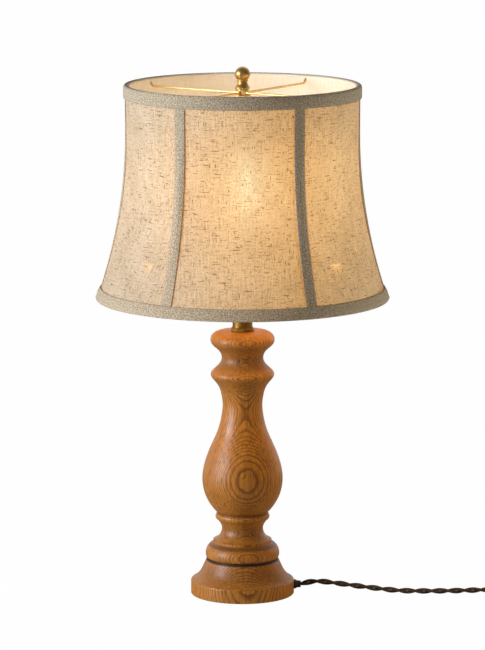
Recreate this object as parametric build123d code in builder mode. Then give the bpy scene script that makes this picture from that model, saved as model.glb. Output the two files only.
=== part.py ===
"""Candlestick table lamp: turned wooden base and column, brass neck, socket and harp,
bell shade of six linen panels on a wire frame, ball finial and a twisted cloth cord.
Sizes are in millimetres. The origin is under the middle of the base, +Z is up,
the front of the lamp faces -Y and the cord leaves towards +X."""
import math
import os
from build123d import *

os.makedirs("parts", exist_ok=True)

# ---------------------------------------------------------------- driving sizes
# Clearances
slip = 0.1            # between pieces that are pushed together
run_fit = 0.08        # radial, a shaft that turns in its hole
soft_gap = 0.3        # between cloth or cord and its neighbours
seat_gap = 0.2        # between flat faces that turn on each other

# Wooden base and column
felt_thickness = 0.8
felt_margin = 4.5
base_radius = 59.4
base_band_height = 14.6
base_height = 40.1
joint_radius = 41.8
joint_chamfer = 0.6
joint_groove_depth = 2.4
joint_groove_height = 1.7
column_height = 266.3
scotia_radius = 23.6
foot_bead_radius = 31.1
vase_radius = 46.2
waist_radius = 22.75
upper_bead_radius = 36.45
throat_radius = 23.8
cap_radius = 36.6
tenon_radius = 12.0
tenon_length = 8.0
cavity_radius = 18.0
cavity_height = 27.7

# Threaded pipe and what is screwed on it
pipe_radius = 5.0
pipe_wall = 1.3
pipe_clearance = 0.3
pipe_bottom_z = 21.0
pipe_in_socket = 7.0
washer_radius = 15.0
washer_thickness = 1.5
nut_across_flats = 16.0
nut_height = 4.0

# Brass neck
flange_radius = 13.7
flange_height = 4.2
neck_radius = 11.4
neck_wall = 1.5
neck_height = 48.7

# Harp
harp_height = 215.9
harp_wire_radius = 1.8
harp_leg_x = 25.0
harp_leg_height = 40.0
harp_shoulder_x = 58.0
harp_top_x = 50.0
harp_belly_height = 94.0
harp_leg_bend = 50.0
harp_belly_bend = 60.0
harp_top_bend = 26.0
harp_plate_radius = 7.5
harp_plate_thickness = 2.0
saddle_rim = 0.9
saddle_thickness = 1.5
saddle_overhang = 1.4
prong_width = 3.0
prong_thickness = 1.2
prong_height = 12.0
ferrule_radius = 4.9
ferrule_wall = 0.8
ferrule_length = 15.0
ferrule_collar = 3.0
stud_radius = 3.175
stud_length = 19.4
stud_seat_radius = 6.6
stud_seat_thickness = 1.6
rivet_radius = 2.0
rivet_head_radius = 3.4
rivet_head_thickness = 1.2

# Socket with a turn knob
shell_wall = 0.7
cap_wall = 0.8
cap_hub_radius = 8.5
cap_hub_height = 8.0
cap_height = 24.0
socket_height = 68.0
sleeve_wall = 0.5
block_gap = 0.5
block_bottom = 20.0
block_height = 20.0
block_flat = 11.5
block_pocket_radius = 6.5
block_pocket_depth = 15.0
screw_shell_wall = 0.35
screw_shell_height = 26.0
screw_shell_gap = 0.95
contact_button_radius = 4.0
contact_stem_radius = 1.5
terminal_head_radius = 3.0
terminal_head_height = 1.6
terminal_shank_radius = 1.5
terminal_shank_length = 4.0
set_screw_radius = 1.5
set_screw_height = 3.2
set_screw_head = 1.6
switch_depth = 9.0
shaft_radius = 2.0
shaft_end_y = 30.0
knob_radius = 7.0
knob_length = 11.0
knob_overlap = 4.0
knob_flutes = 16
cam_length = 4.0

# Bulb
bulb_radius = 30.0
bulb_length = 110.0
bulb_wall = 0.8
cap_length = 24.0
thread_radius = 13.1
thread_depth = 0.6
thread_pitch = 3.63
thread_gap = 0.3
bulb_neck_step = 0.5
bulb_seat = 2.4
bulb_contact_radius = 4.2
bulb_contact_stem = 2.6
filament_radius = 0.9
filament_length = 32.0
filament_circle = 6.0

# Shade
shade_height = 244.0
shade_top_radius = 132.1
shade_bottom_radius = 164.8
shade_straight = 50.0
panel_count = 6
panel_flatness = 0.55
panel_thickness = 0.6
panel_side_gap = 0.35
shade_turn = -1.5
ring_wire_radius = 1.5
rib_wire_radius = 1.25
lining_thickness = 0.5
lining_gap = 3.9
tape_thickness = 0.7
tape_gap = 0.25
rib_tape_width = 13.2
top_tape_height = 12.7
bottom_tape_height = 15.6
edge_tape_thickness = 1.7
hub_radius = 6.15
hub_height = 7.4
hub_flange_radius = 9.4
hub_flange_height = 1.2
hub_bore = 3.5
boss_radius = 2.3
boss_reach = 10.2
arm_count = 4
arm_turn = 55.3
arm_radius = 1.4
arm_drop = 6.8
arm_slope_run = 5.0
arm_bend_radius = 4.0

# Finial
finial_foot_radius = 8.24
finial_neck_radius = 5.8
ball_radius = 8.63
ball_centre_height = 17.5
finial_bore = 3.25

# Cord, plug and tie
cord_radius = 3.4
cord_exit_z = 10.4
cord_bend_radius = 9.0
bushing_barrel_radius = 4.9
bushing_barrel_length = 16.0
bushing_flange_radius = 5.5
bushing_flange_thickness = 3.2
bushing_nose_length = 4.6
bushing_nose_radius = 4.3
lead_radius = 1.2
coil_outer_radius = 50.4
coil_turn_pitch = 7.5
coil_layer_pitch = 7.5
coil_layer_turns = 2.75
tie_thickness = 0.8
tie_gap = 0.4
tie_width = 8.0
plug_radius = 11.9
plug_length = 28.0
plug_turn = -12.0
blade_width = 6.35
blade_thickness = 1.52
blade_spacing = 12.7
blade_length = 17.5

# ---------------------------------------------------------------- stacked sizes
pipe_bore = pipe_radius - pipe_wall
pipe_hole_radius = pipe_radius + pipe_clearance
saddle_width = 2 * (pipe_radius + slip + saddle_rim)
base_top = felt_thickness + base_height
column_top = base_top + column_height
neck_bottom = column_top + flange_height
neck_top = neck_bottom + neck_height
socket_z = neck_top + saddle_thickness
seat_z = neck_top + harp_height
hub_top = seat_z + hub_height
arm_z = seat_z + hub_height / 2
ring_z = arm_z + arm_drop
shade_top = ring_z + ring_wire_radius + slip + tape_thickness
shade_bottom = shade_top - shade_height
cavity_top = cavity_height + felt_thickness
bulb_z = socket_z + block_bottom + block_height + bulb_seat
screw_shell_radius = thread_radius + thread_gap + screw_shell_wall
sleeve_bore = screw_shell_radius + screw_shell_gap
socket_radius = sleeve_bore + sleeve_wall + slip + shell_wall


def keep(builder, label):
    """Names the finished piece and writes it."""
    builder.part.label = label
    export_step(builder.part, f"parts/{label}.step")


def rod(path, radius):
    """A round bar along a path, made inside the caller's part."""
    with BuildSketch(Plane(origin=path @ 0, z_dir=path % 0)) as section:
        Circle(radius)
    sweep(section.sketch, path=path)


# ---------------------------------------------------------------- wooden base
with BuildPart() as felt_pad:
    Cylinder(base_radius - felt_margin, felt_thickness,
             align=(Align.CENTER, Align.CENTER, Align.MIN))
    Cylinder(cavity_radius, felt_thickness, mode=Mode.SUBTRACT,
             align=(Align.CENTER, Align.CENTER, Align.MIN))
keep(felt_pad, "felt_pad")

shoulder_z = felt_thickness + base_band_height + 2.4
slope_run = base_radius - joint_radius
with BuildPart() as base_plinth:
    with BuildSketch(Plane.XZ):
        with BuildLine():
            Polyline((0, felt_thickness), (base_radius - 0.5, felt_thickness),
                     (base_radius, felt_thickness + 0.6),
                     (base_radius, felt_thickness + base_band_height))
            ThreePointArc((base_radius, felt_thickness + base_band_height),
                          (base_radius - 0.6, shoulder_z - 0.9), (base_radius - 2.0, shoulder_z))
            Spline((base_radius - 2.0, shoulder_z),
                   (base_radius - 0.375 * slope_run, shoulder_z + 3.2),
                   (base_radius - 0.69 * slope_run, shoulder_z + 10.7),
                   (joint_radius, base_top - joint_chamfer))
            Polyline((joint_radius, base_top - joint_chamfer),
                     (joint_radius - joint_chamfer, base_top), (0, base_top), (0, felt_thickness))
        make_face()
    revolve(axis=Axis.Z)
    with Locations((0, 0, felt_thickness)):
        Cylinder(cavity_radius, cavity_height, mode=Mode.SUBTRACT,
                 align=(Align.CENTER, Align.CENTER, Align.MIN))
    with Locations((0, 0, base_top)):
        Cylinder(tenon_radius + slip, tenon_length + 0.4, mode=Mode.SUBTRACT,
                 align=(Align.CENTER, Align.CENTER, Align.MAX))
    Cylinder(pipe_hole_radius, base_top, mode=Mode.SUBTRACT,
             align=(Align.CENTER, Align.CENTER, Align.MIN))
    with BuildSketch(Plane.YZ.offset(cavity_radius - 2)):
        with Locations((0, cord_exit_z)):
            Circle(bushing_barrel_radius + slip)
    extrude(amount=base_radius, mode=Mode.SUBTRACT)
keep(base_plinth, "base_plinth")

# ---------------------------------------------------------------- turned column
# Lower turnings are placed from the foot of the column, upper ones from its top.
# The foot stands on the base with a narrow groove above the joint.
groove_radius = joint_radius - joint_groove_depth
groove_top = base_top + joint_groove_height
foot = groove_top + 0.8
head = column_top
with BuildPart() as turned_column:
    with BuildSketch(Plane.XZ):
        with BuildLine():
            Polyline((0, base_top), (groove_radius, base_top), (groove_radius, groove_top),
                     (joint_radius - 0.5, groove_top + 0.4), (joint_radius, foot + 0.8))
            Spline((joint_radius, foot + 0.8), (joint_radius + 0.6, foot + 5.0),
                   (joint_radius - 0.8, foot + 10.8), (joint_radius - 7.4, foot + 17.0))
            Polyline((joint_radius - 7.4, foot + 17.0), (joint_radius - 8.1, foot + 17.4),
                     (joint_radius - 8.2, foot + 20.4), (joint_radius - 9.8, foot + 20.8))
            Spline((joint_radius - 9.8, foot + 20.8), (scotia_radius + 1.8, foot + 27.1),
                   (scotia_radius, foot + 33.4), (scotia_radius + 1.5, foot + 39.1),
                   (foot_bead_radius - 1.6, foot + 44.6))
            ThreePointArc((foot_bead_radius - 1.6, foot + 44.6), (foot_bead_radius, foot + 47.7),
                          (foot_bead_radius - 2.0, foot + 51.4))
            Line((foot_bead_radius - 2.0, foot + 51.4), (foot_bead_radius - 2.0, foot + 52.6))
            Spline((foot_bead_radius - 2.0, foot + 52.6), (vase_radius - 9.5, foot + 61.6),
                   (vase_radius - 3.1, foot + 74.1), (vase_radius, foot + 92.4),
                   (vase_radius - 3.4, foot + 112.8), (vase_radius - 10.2, foot + 130.8),
                   (waist_radius + 5.5, head - 115.2), (waist_radius + 1.1, head - 97.2),
                   (waist_radius, head - 85.7), (waist_radius + 1.3, head - 74.4),
                   (waist_radius + 6.4, head - 61.2),
                   (upper_bead_radius, head - 49.7), (throat_radius + 4.6, head - 40.2),
                   (throat_radius, head - 31.2), (throat_radius + 3.6, head - 22.2),
                   (cap_radius - 0.5, head - 13.2), (cap_radius - 0.3, head - 7.2),
                   (cap_radius - 3.9, head - 2.7), (cap_radius - 10.6, head - 0.5))
            Polyline((cap_radius - 10.6, head - 0.5), (flange_radius + 1.0, head), (0, head),
                     (0, base_top))
        make_face()
    revolve(axis=Axis.Z)
    with Locations((0, 0, base_top)):
        Cylinder(tenon_radius, tenon_length, align=(Align.CENTER, Align.CENTER, Align.MAX))
    with Locations((0, 0, base_top - tenon_length)):
        Cylinder(pipe_hole_radius, column_height + tenon_length, mode=Mode.SUBTRACT,
                 align=(Align.CENTER, Align.CENTER, Align.MIN))
keep(turned_column, "turned_column")

# ---------------------------------------------------------------- pipe, washer and nut
with BuildPart() as lamp_pipe:
    with Locations((0, 0, pipe_bottom_z)):
        Cylinder(pipe_radius, socket_z + pipe_in_socket - pipe_bottom_z,
                 align=(Align.CENTER, Align.CENTER, Align.MIN))
    chamfer(lamp_pipe.edges().filter_by(GeomType.CIRCLE), 0.5)
    Cylinder(pipe_bore, 2 * (socket_z + pipe_in_socket), mode=Mode.SUBTRACT)
keep(lamp_pipe, "lamp_pipe")

with BuildPart() as pipe_washer:
    with Locations((0, 0, cavity_top - washer_thickness)):
        Cylinder(washer_radius, washer_thickness, align=(Align.CENTER, Align.CENTER, Align.MIN))
        Cylinder(pipe_hole_radius, washer_thickness, mode=Mode.SUBTRACT,
                 align=(Align.CENTER, Align.CENTER, Align.MIN))
    fillet(pipe_washer.edges().group_by(Axis.Z)[0].sort_by(SortBy.RADIUS)[-1], 0.4)
keep(pipe_washer, "pipe_washer")

with BuildPart() as pipe_nut:
    with BuildSketch(Plane.XY.offset(cavity_top - washer_thickness - nut_height)):
        RegularPolygon(nut_across_flats / 2, 6, major_radius=False)
        Circle(pipe_radius + slip, mode=Mode.SUBTRACT)
    extrude(amount=nut_height)
keep(pipe_nut, "pipe_nut")

# ---------------------------------------------------------------- cord bushing
flange_x = base_radius + slip
bushing_end_x = flange_x + bushing_flange_thickness + bushing_nose_length
with BuildPart() as cord_bushing:
    with BuildSketch(Plane.XZ):
        with BuildLine():
            Polyline((flange_x - bushing_barrel_length, cord_exit_z),
                     (flange_x - bushing_barrel_length, cord_exit_z + bushing_barrel_radius),
                     (flange_x, cord_exit_z + bushing_barrel_radius),
                     (flange_x, cord_exit_z + bushing_flange_radius))
            RadiusArc((flange_x, cord_exit_z + bushing_flange_radius),
                      (flange_x + bushing_flange_thickness, cord_exit_z + bushing_nose_radius),
                      bushing_flange_thickness * 1.4)
            Polyline((flange_x + bushing_flange_thickness, cord_exit_z + bushing_nose_radius),
                     (bushing_end_x, cord_exit_z + cord_radius + 0.4),
                     (bushing_end_x, cord_exit_z),
                     (flange_x - bushing_barrel_length, cord_exit_z))
        make_face()
    revolve(axis=Axis((0, 0, cord_exit_z), (1, 0, 0)))
    with BuildSketch(Plane.YZ):
        with Locations((0, cord_exit_z)):
            Circle(cord_radius + slip)
    extrude(amount=2 * base_radius, mode=Mode.SUBTRACT)
keep(cord_bushing, "cord_bushing")

# ---------------------------------------------------------------- brass neck
with BuildPart() as neck_flange:
    with BuildSketch(Plane.XZ):
        with BuildLine():
            Polyline((pipe_hole_radius, column_top), (flange_radius - 0.6, column_top))
            ThreePointArc((flange_radius - 0.6, column_top),
                          (flange_radius, column_top + flange_height * 0.4),
                          (flange_radius - 0.9, column_top + flange_height - 0.9))
            Polyline((flange_radius - 0.9, column_top + flange_height - 0.9),
                     (neck_radius + 0.5, neck_bottom), (pipe_hole_radius, neck_bottom),
                     (pipe_hole_radius, column_top))
        make_face()
    revolve(axis=Axis.Z)
keep(neck_flange, "neck_flange")

with BuildPart() as brass_neck:
    with Locations((0, 0, neck_bottom)):
        Cylinder(neck_radius, neck_height, align=(Align.CENTER, Align.CENTER, Align.MIN))
        Cylinder(neck_radius - neck_wall, neck_height - neck_wall, mode=Mode.SUBTRACT,
                 align=(Align.CENTER, Align.CENTER, Align.MIN))
    fillet(brass_neck.edges().group_by(Axis.Z)[-1], 0.8)
    with Locations((0, 0, neck_top)):
        Cylinder(pipe_hole_radius, 2 * neck_wall + 1, mode=Mode.SUBTRACT)
keep(brass_neck, "brass_neck")

# ---------------------------------------------------------------- harp and its saddle
prong_x = harp_leg_x - harp_wire_radius - soft_gap - prong_thickness / 2
leg_bottom = neck_top + saddle_thickness + soft_gap
with BuildPart() as harp_saddle:
    with BuildSketch(Plane.XY.offset(neck_top)):
        SlotOverall(2 * (harp_leg_x + harp_wire_radius + saddle_overhang), saddle_width)
        Circle(pipe_radius + slip, mode=Mode.SUBTRACT)
    extrude(amount=saddle_thickness)
    for side in (-1, 1):
        with Locations((side * prong_x, 0, socket_z)):
            Box(prong_thickness, prong_width, prong_height,
                align=(Align.CENTER, Align.CENTER, Align.MIN))
keep(harp_saddle, "harp_saddle")

plate_top = seat_z - stud_seat_thickness - seat_gap
wire_z = plate_top - harp_plate_thickness / 2
with BuildPart() as harp:
    for side in (-1, 1):
        with BuildLine(Plane.XZ) as leg:
            FilletPolyline((side * harp_leg_x, leg_bottom),
                           (side * harp_leg_x, leg_bottom + harp_leg_height),
                           (side * harp_shoulder_x, leg_bottom + harp_belly_height),
                           (side * harp_top_x, wire_z), (side * 2, wire_z),
                           radius=[harp_leg_bend, harp_belly_bend, harp_top_bend])
        rod(leg.line, harp_wire_radius)
    with Locations((0, 0, wire_z)):
        Cylinder(harp_plate_radius, 2 * harp_wire_radius + 0.6, mode=Mode.SUBTRACT)
        Cylinder(harp_plate_radius, harp_plate_thickness)
    with Locations((0, 0, wire_z)):
        Cylinder(rivet_radius + run_fit, 4 * harp_wire_radius, mode=Mode.SUBTRACT)
keep(harp, "harp")


def ferrule(side):
    """A sleeve that locks one harp leg to its prong: wide bore below, close collar above."""
    with BuildPart() as sleeve:
        with Locations((side * harp_leg_x, 0, leg_bottom)):
            Cylinder(ferrule_radius, ferrule_length, align=(Align.CENTER, Align.CENTER, Align.MIN))
            Cylinder(ferrule_radius - ferrule_wall, ferrule_length - ferrule_collar,
                     mode=Mode.SUBTRACT,
                     align=(Align.CENTER, Align.CENTER, Align.MIN))
            Cylinder(harp_wire_radius + run_fit, ferrule_length, mode=Mode.SUBTRACT,
                     align=(Align.CENTER, Align.CENTER, Align.MIN))
        fillet(sleeve.edges().group_by(Axis.Z)[-1].sort_by(SortBy.RADIUS)[-1], ferrule_wall)
    return sleeve


keep(ferrule(-1), "harp_ferrule_left")
keep(ferrule(1), "harp_ferrule_right")

plate_bottom = plate_top - harp_plate_thickness
with BuildPart() as harp_stud:
    with BuildSketch(Plane.XZ):
        with BuildLine():
            Polyline((0, plate_bottom - seat_gap - rivet_head_thickness),
                     (rivet_head_radius, plate_bottom - seat_gap - rivet_head_thickness),
                     (rivet_head_radius, plate_bottom - seat_gap),
                     (rivet_radius, plate_bottom - seat_gap),
                     (rivet_radius, plate_top + seat_gap),
                     (stud_seat_radius, plate_top + seat_gap),
                     (stud_seat_radius, seat_z), (stud_radius, seat_z),
                     (stud_radius, seat_z + stud_length - 0.8),
                     (stud_radius - 0.8, seat_z + stud_length), (0, seat_z + stud_length),
                     close=True)
        make_face()
    revolve(axis=Axis.Z)
keep(harp_stud, "harp_stud")

# ---------------------------------------------------------------- socket
cap_radius_out = socket_radius + slip + cap_wall
with BuildPart() as socket_cap:
    with BuildSketch(Plane.XZ):
        with BuildLine():
            Polyline((pipe_radius + slip, socket_z), (cap_hub_radius, socket_z),
                     (cap_hub_radius, socket_z + cap_hub_height - 1.5))
            ThreePointArc((cap_hub_radius, socket_z + cap_hub_height - 1.5),
                          (cap_radius_out - 2.4, socket_z + cap_hub_height + 0.8),
                          (cap_radius_out, socket_z + cap_hub_height + 6.0))
            Polyline((cap_radius_out, socket_z + cap_hub_height + 6.0),
                     (cap_radius_out, socket_z + cap_height),
                     (cap_radius_out - cap_wall, socket_z + cap_height),
                     (cap_radius_out - cap_wall, socket_z + cap_hub_height + 6.0))
            ThreePointArc((cap_radius_out - cap_wall, socket_z + cap_hub_height + 6.0),
                          (cap_radius_out - 3.2, socket_z + cap_hub_height + 1.9),
                          (cap_hub_radius, socket_z + cap_hub_height))
            Polyline((cap_hub_radius, socket_z + cap_hub_height),
                     (pipe_radius + slip, socket_z + cap_hub_height),
                     (pipe_radius + slip, socket_z))
        make_face()
    revolve(axis=Axis.Z)
    with Locations(Plane((0, 0, socket_z + set_screw_height), z_dir=(0, 1, 0))):
        Cylinder(set_screw_radius + slip, 2 * cap_hub_radius, mode=Mode.SUBTRACT,
                 align=(Align.CENTER, Align.CENTER, Align.MIN))
keep(socket_cap, "socket_cap")

with BuildPart() as cap_set_screw:
    screw_z = socket_z + set_screw_height
    head_y = cap_hub_radius + slip
    with Locations(Plane((0, pipe_radius + slip, screw_z), z_dir=(0, 1, 0))):
        Cylinder(set_screw_radius, head_y - pipe_radius - slip,
                 align=(Align.CENTER, Align.CENTER, Align.MIN))
    with Locations(Plane((0, head_y, screw_z), z_dir=(0, 1, 0))):
        Cylinder(set_screw_radius + 1.0, set_screw_head,
                 align=(Align.CENTER, Align.CENTER, Align.MIN))
    with Locations((0, head_y + set_screw_head, screw_z)):
        Box(0.6, 1.2, 4 * set_screw_radius, mode=Mode.SUBTRACT)
keep(cap_set_screw, "cap_set_screw")

shell_bottom = socket_z + cap_hub_height + 6.0
shell_top = socket_z + socket_height
block_radius = sleeve_bore - block_gap
block_z = socket_z + block_bottom
block_top = block_z + block_height
shaft_z = block_top - switch_depth
switch_hole = shaft_radius + 1.6
with BuildPart() as socket_shell:
    with Locations((0, 0, shell_bottom)):
        Cylinder(socket_radius, shell_top - shell_bottom,
                 align=(Align.CENTER, Align.CENTER, Align.MIN))
    with BuildSketch(Plane.XZ):
        with Locations((socket_radius, shell_top - 1.2)):
            Circle(1.2)
    revolve(axis=Axis.Z)
    with Locations((0, 0, shell_bottom)):
        Cylinder(socket_radius - shell_wall, socket_height, mode=Mode.SUBTRACT,
                 align=(Align.CENTER, Align.CENTER, Align.MIN))
    with Locations(Plane((0, 0, shaft_z), z_dir=(0, -1, 0))):
        Cylinder(switch_hole, 2 * socket_radius, mode=Mode.SUBTRACT,
                 align=(Align.CENTER, Align.CENTER, Align.MIN))
keep(socket_shell, "socket_shell")

with BuildPart() as insulating_sleeve:
    with Locations((0, 0, shell_bottom)):
        Cylinder(sleeve_bore + sleeve_wall, shell_top - shell_bottom - 2.0,
                 align=(Align.CENTER, Align.CENTER, Align.MIN))
        Cylinder(sleeve_bore, socket_height, mode=Mode.SUBTRACT,
                 align=(Align.CENTER, Align.CENTER, Align.MIN))
    with Locations(Plane((0, 0, shaft_z), z_dir=(0, -1, 0))):
        Cylinder(switch_hole, 2 * socket_radius, mode=Mode.SUBTRACT,
                 align=(Align.CENTER, Align.CENTER, Align.MIN))
keep(insulating_sleeve, "insulating_sleeve")

terminal_margin = 1.5
terminal_z = block_z + terminal_head_radius + terminal_margin
with BuildPart() as switch_block:
    with Locations((0, 0, block_z)):
        Cylinder(block_radius, block_height, align=(Align.CENTER, Align.CENTER, Align.MIN))
    for side in (-1, 1):
        with Locations((side * block_flat, 0, block_z)):
            Box(block_radius, 2 * block_radius, 2 * (terminal_head_radius + terminal_margin),
                align=(Align.MIN if side > 0 else Align.MAX, Align.CENTER, Align.MIN),
                mode=Mode.SUBTRACT)
        with Locations(Plane((0, 0, terminal_z), z_dir=(side, 0, 0))):
            Cylinder(terminal_shank_radius + slip, block_radius, mode=Mode.SUBTRACT,
                     align=(Align.CENTER, Align.CENTER, Align.MIN))
    with Locations((0, 0, block_top)):
        Cylinder(block_pocket_radius, block_pocket_depth, mode=Mode.SUBTRACT,
                 align=(Align.CENTER, Align.CENTER, Align.MAX))
    with Locations(Plane((0, 0, shaft_z), z_dir=(0, -1, 0))):
        Cylinder(shaft_radius + run_fit, 2 * block_radius, mode=Mode.SUBTRACT,
                 align=(Align.CENTER, Align.CENTER, Align.MIN))
keep(switch_block, "switch_block")

with BuildPart() as terminal_screws:
    for side in (-1, 1):
        with Locations(Plane((side * (block_flat + slip), 0, terminal_z), z_dir=(side, 0, 0))):
            Cylinder(terminal_head_radius, terminal_head_height,
                     align=(Align.CENTER, Align.CENTER, Align.MIN))
            Cylinder(terminal_shank_radius, terminal_shank_length,
                     align=(Align.CENTER, Align.CENTER, Align.MAX))
        slot_x = side * (block_flat + slip + terminal_head_height)
        with Locations((slot_x, 0, terminal_z)):
            Box(1.2, 2 * terminal_head_radius + 1, 0.7, mode=Mode.SUBTRACT)
keep(terminal_screws, "terminal_screws")

with BuildPart() as screw_shell:
    with Locations((0, 0, block_top + slip)):
        Cylinder(screw_shell_radius, screw_shell_height,
                 align=(Align.CENTER, Align.CENTER, Align.MIN))
    with Locations((0, 0, block_top + slip + 0.5)):
        Cylinder(screw_shell_radius - screw_shell_wall, screw_shell_height, mode=Mode.SUBTRACT,
                 align=(Align.CENTER, Align.CENTER, Align.MIN))
    with Locations((0, 0, block_top)):
        Cylinder(contact_button_radius + 1.0, 3.0, mode=Mode.SUBTRACT)
keep(screw_shell, "screw_shell")

cam_reach = shaft_radius + 0.4
cam_lobe = 0.9
contact_top = bulb_z - soft_gap

with BuildPart() as centre_contact:
    with Locations((0, 0, contact_top)):
        Cylinder(contact_button_radius, 0.8, align=(Align.CENTER, Align.CENTER, Align.MAX))
        Cylinder(contact_stem_radius, contact_top - shaft_z - cam_reach - cam_lobe - soft_gap,
                 align=(Align.CENTER, Align.CENTER, Align.MAX))
    fillet(centre_contact.edges().group_by(Axis.Z)[-1], 0.3)
keep(centre_contact, "centre_contact")

# The knob's shaft ends in a four-lobed cam under the centre contact.
knob_start_y = shaft_end_y - knob_length + knob_overlap
with BuildPart() as switch_shaft:
    with Locations(Plane((0, 0, shaft_z), z_dir=(0, -1, 0))):
        Cylinder(shaft_radius, shaft_end_y, align=(Align.CENTER, Align.CENTER, Align.MIN))
    with BuildSketch(Plane((0, -cam_length / 2, shaft_z), x_dir=(1, 0, 0), z_dir=(0, 1, 0))):
        Circle(cam_reach)
        with PolarLocations(cam_reach, 4):
            Circle(cam_lobe)
    extrude(amount=cam_length)
keep(switch_shaft, "switch_shaft")

with BuildPart() as switch_knob:
    knob_plane = Plane((0, -knob_start_y, shaft_z), x_dir=(1, 0, 0), z_dir=(0, -1, 0))
    with BuildSketch(knob_plane):
        Circle(knob_radius)
        with PolarLocations(knob_radius + 0.25, knob_flutes):
            Circle(0.8, mode=Mode.SUBTRACT)
    extrude(amount=knob_length, taper=3)
    with Locations(knob_plane):
        Cylinder(shaft_radius + slip, shaft_end_y - knob_start_y + slip, mode=Mode.SUBTRACT,
                 align=(Align.CENTER, Align.CENTER, Align.MIN))
keep(switch_knob, "switch_knob")

# ---------------------------------------------------------------- bulb
bulb_neck_radius = thread_radius - bulb_neck_step
glass_bottom = bulb_z + cap_length - 2.0
glass_centre = bulb_z + bulb_length - bulb_radius


def bulb_outline(inset):
    """Half of the pear outline, moved in by inset."""
    neck = bulb_neck_radius - inset
    ball = bulb_radius - inset
    with BuildSketch(Plane.XZ) as outline:
        with BuildLine():
            Polyline((0, glass_bottom + inset), (neck, glass_bottom + inset),
                     (neck, glass_bottom + 12.0))
            Spline((neck, glass_bottom + 12.0), (ball * 0.78, glass_centre - ball * 0.70),
                   (ball, glass_centre), tangents=((0, 1), (0, 1)))
            ThreePointArc((ball, glass_centre),
                          (ball * math.sin(math.pi / 4),
                           glass_centre + ball * math.cos(math.pi / 4)),
                          (0, glass_centre + ball))
            Line((0, glass_centre + ball), (0, glass_bottom + inset))
        make_face()
    return outline.sketch


with BuildPart() as bulb_glass:
    revolve(bulb_outline(0), axis=Axis.Z)
    revolve(bulb_outline(bulb_wall), axis=Axis.Z, mode=Mode.SUBTRACT)
keep(bulb_glass, "bulb_glass")

thread_start = bulb_z + 6.0
thread_root = thread_radius - thread_depth
with BuildPart() as bulb_cap:
    with BuildSketch(Plane.XZ):
        with BuildLine():
            Polyline((thread_root, thread_start), (thread_root, glass_bottom - 1.5),
                     (bulb_neck_radius + 0.5, glass_bottom),
                     (bulb_neck_radius + 0.5, bulb_z + cap_length + 1.0),
                     (bulb_neck_radius + slip, bulb_z + cap_length + 1.0),
                     (bulb_neck_radius + slip, glass_bottom - slip),
                     (thread_root - 0.5, glass_bottom - 0.6),
                     (thread_root - 0.5, thread_start), close=True)
        make_face()
        for turn in range(4):
            with Locations((thread_root + 0.1, thread_start + (turn + 0.6) * thread_pitch)):
                Ellipse(thread_depth - 0.1, thread_pitch * 0.42)
        with Locations((thread_root - 0.5, thread_start + cap_length / 2)):
            Rectangle(2 * thread_depth, cap_length - 8.0, mode=Mode.SUBTRACT,
                      align=(Align.MAX, Align.CENTER))
    revolve(axis=Axis.Z)
keep(bulb_cap, "bulb_cap")

with BuildPart() as bulb_insulator:
    with BuildSketch(Plane.XZ):
        with BuildLine():
            Polyline((0, bulb_z + 1.2), (bulb_contact_radius + 0.4, bulb_z + 1.2),
                     (thread_root - 0.6, thread_start - slip),
                     (thread_root - 0.6, thread_start + 1.2),
                     (0, thread_start + 1.2), close=True)
        make_face()
    revolve(axis=Axis.Z)
    with Locations((0, 0, bulb_z)):
        Cylinder(bulb_contact_stem + slip, 3.2, mode=Mode.SUBTRACT,
                 align=(Align.CENTER, Align.CENTER, Align.MIN))
keep(bulb_insulator, "bulb_insulator")

with BuildPart() as bulb_contact:
    with Locations((0, 0, bulb_z + 0.1)):
        Cylinder(bulb_contact_radius, 1.0, align=(Align.CENTER, Align.CENTER, Align.MIN))
    fillet(bulb_contact.edges().group_by(Axis.Z)[0], 0.6)
    with Locations((0, 0, bulb_z + 1.1)):
        Cylinder(bulb_contact_stem, 2.0, align=(Align.CENTER, Align.CENTER, Align.MIN))
keep(bulb_contact, "bulb_contact")

stem_top = glass_centre - filament_length / 2
with BuildPart() as bulb_stem:
    with BuildSketch(Plane.XZ):
        with BuildLine():
            Line((0, glass_bottom + bulb_wall + slip), (8.0, glass_bottom + bulb_wall + slip))
            Spline((8.0, glass_bottom + bulb_wall + slip), (3.6, glass_bottom + 9.0),
                   (2.2, stem_top - 6.0))
            Polyline((2.2, stem_top - 6.0), (filament_circle + 1.0, stem_top - 2.0),
                     (filament_circle + 1.0, stem_top), (1.2, stem_top),
                     (1.2, stem_top + filament_length), (0, stem_top + filament_length),
                     (0, glass_bottom + bulb_wall + slip))
        make_face()
    revolve(axis=Axis.Z)
keep(bulb_stem, "bulb_stem")

with BuildPart() as bulb_filaments:
    with PolarLocations(filament_circle, 4, start_angle=45):
        with Locations((0, 0, stem_top + slip)):
            Cylinder(filament_radius, filament_length,
                     align=(Align.CENTER, Align.CENTER, Align.MIN))
keep(bulb_filaments, "bulb_filaments")

# ---------------------------------------------------------------- shade outline
panel_angle = 360 / panel_count
half_panel = math.radians(panel_angle / 2)


def shade_radius(depth):
    """Radius of the cloth at a rib, at a depth below the top edge: straight, then flaring."""
    flare = max(depth - shade_straight, 0) / (shade_height - shade_straight)
    return shade_top_radius + (shade_bottom_radius - shade_top_radius) * flare ** 2


def middle_radius(depth, radius):
    """Radius half-way between two ribs, where the stretched cloth is flatter than a circle."""
    between = (depth - top_tape_height) / (shade_height - top_tape_height - bottom_tape_height)
    flat = panel_flatness * math.sin(math.pi * min(max(between, 0), 1)) ** 2
    return radius * (1 - flat * (1 - math.cos(half_panel)))


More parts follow.
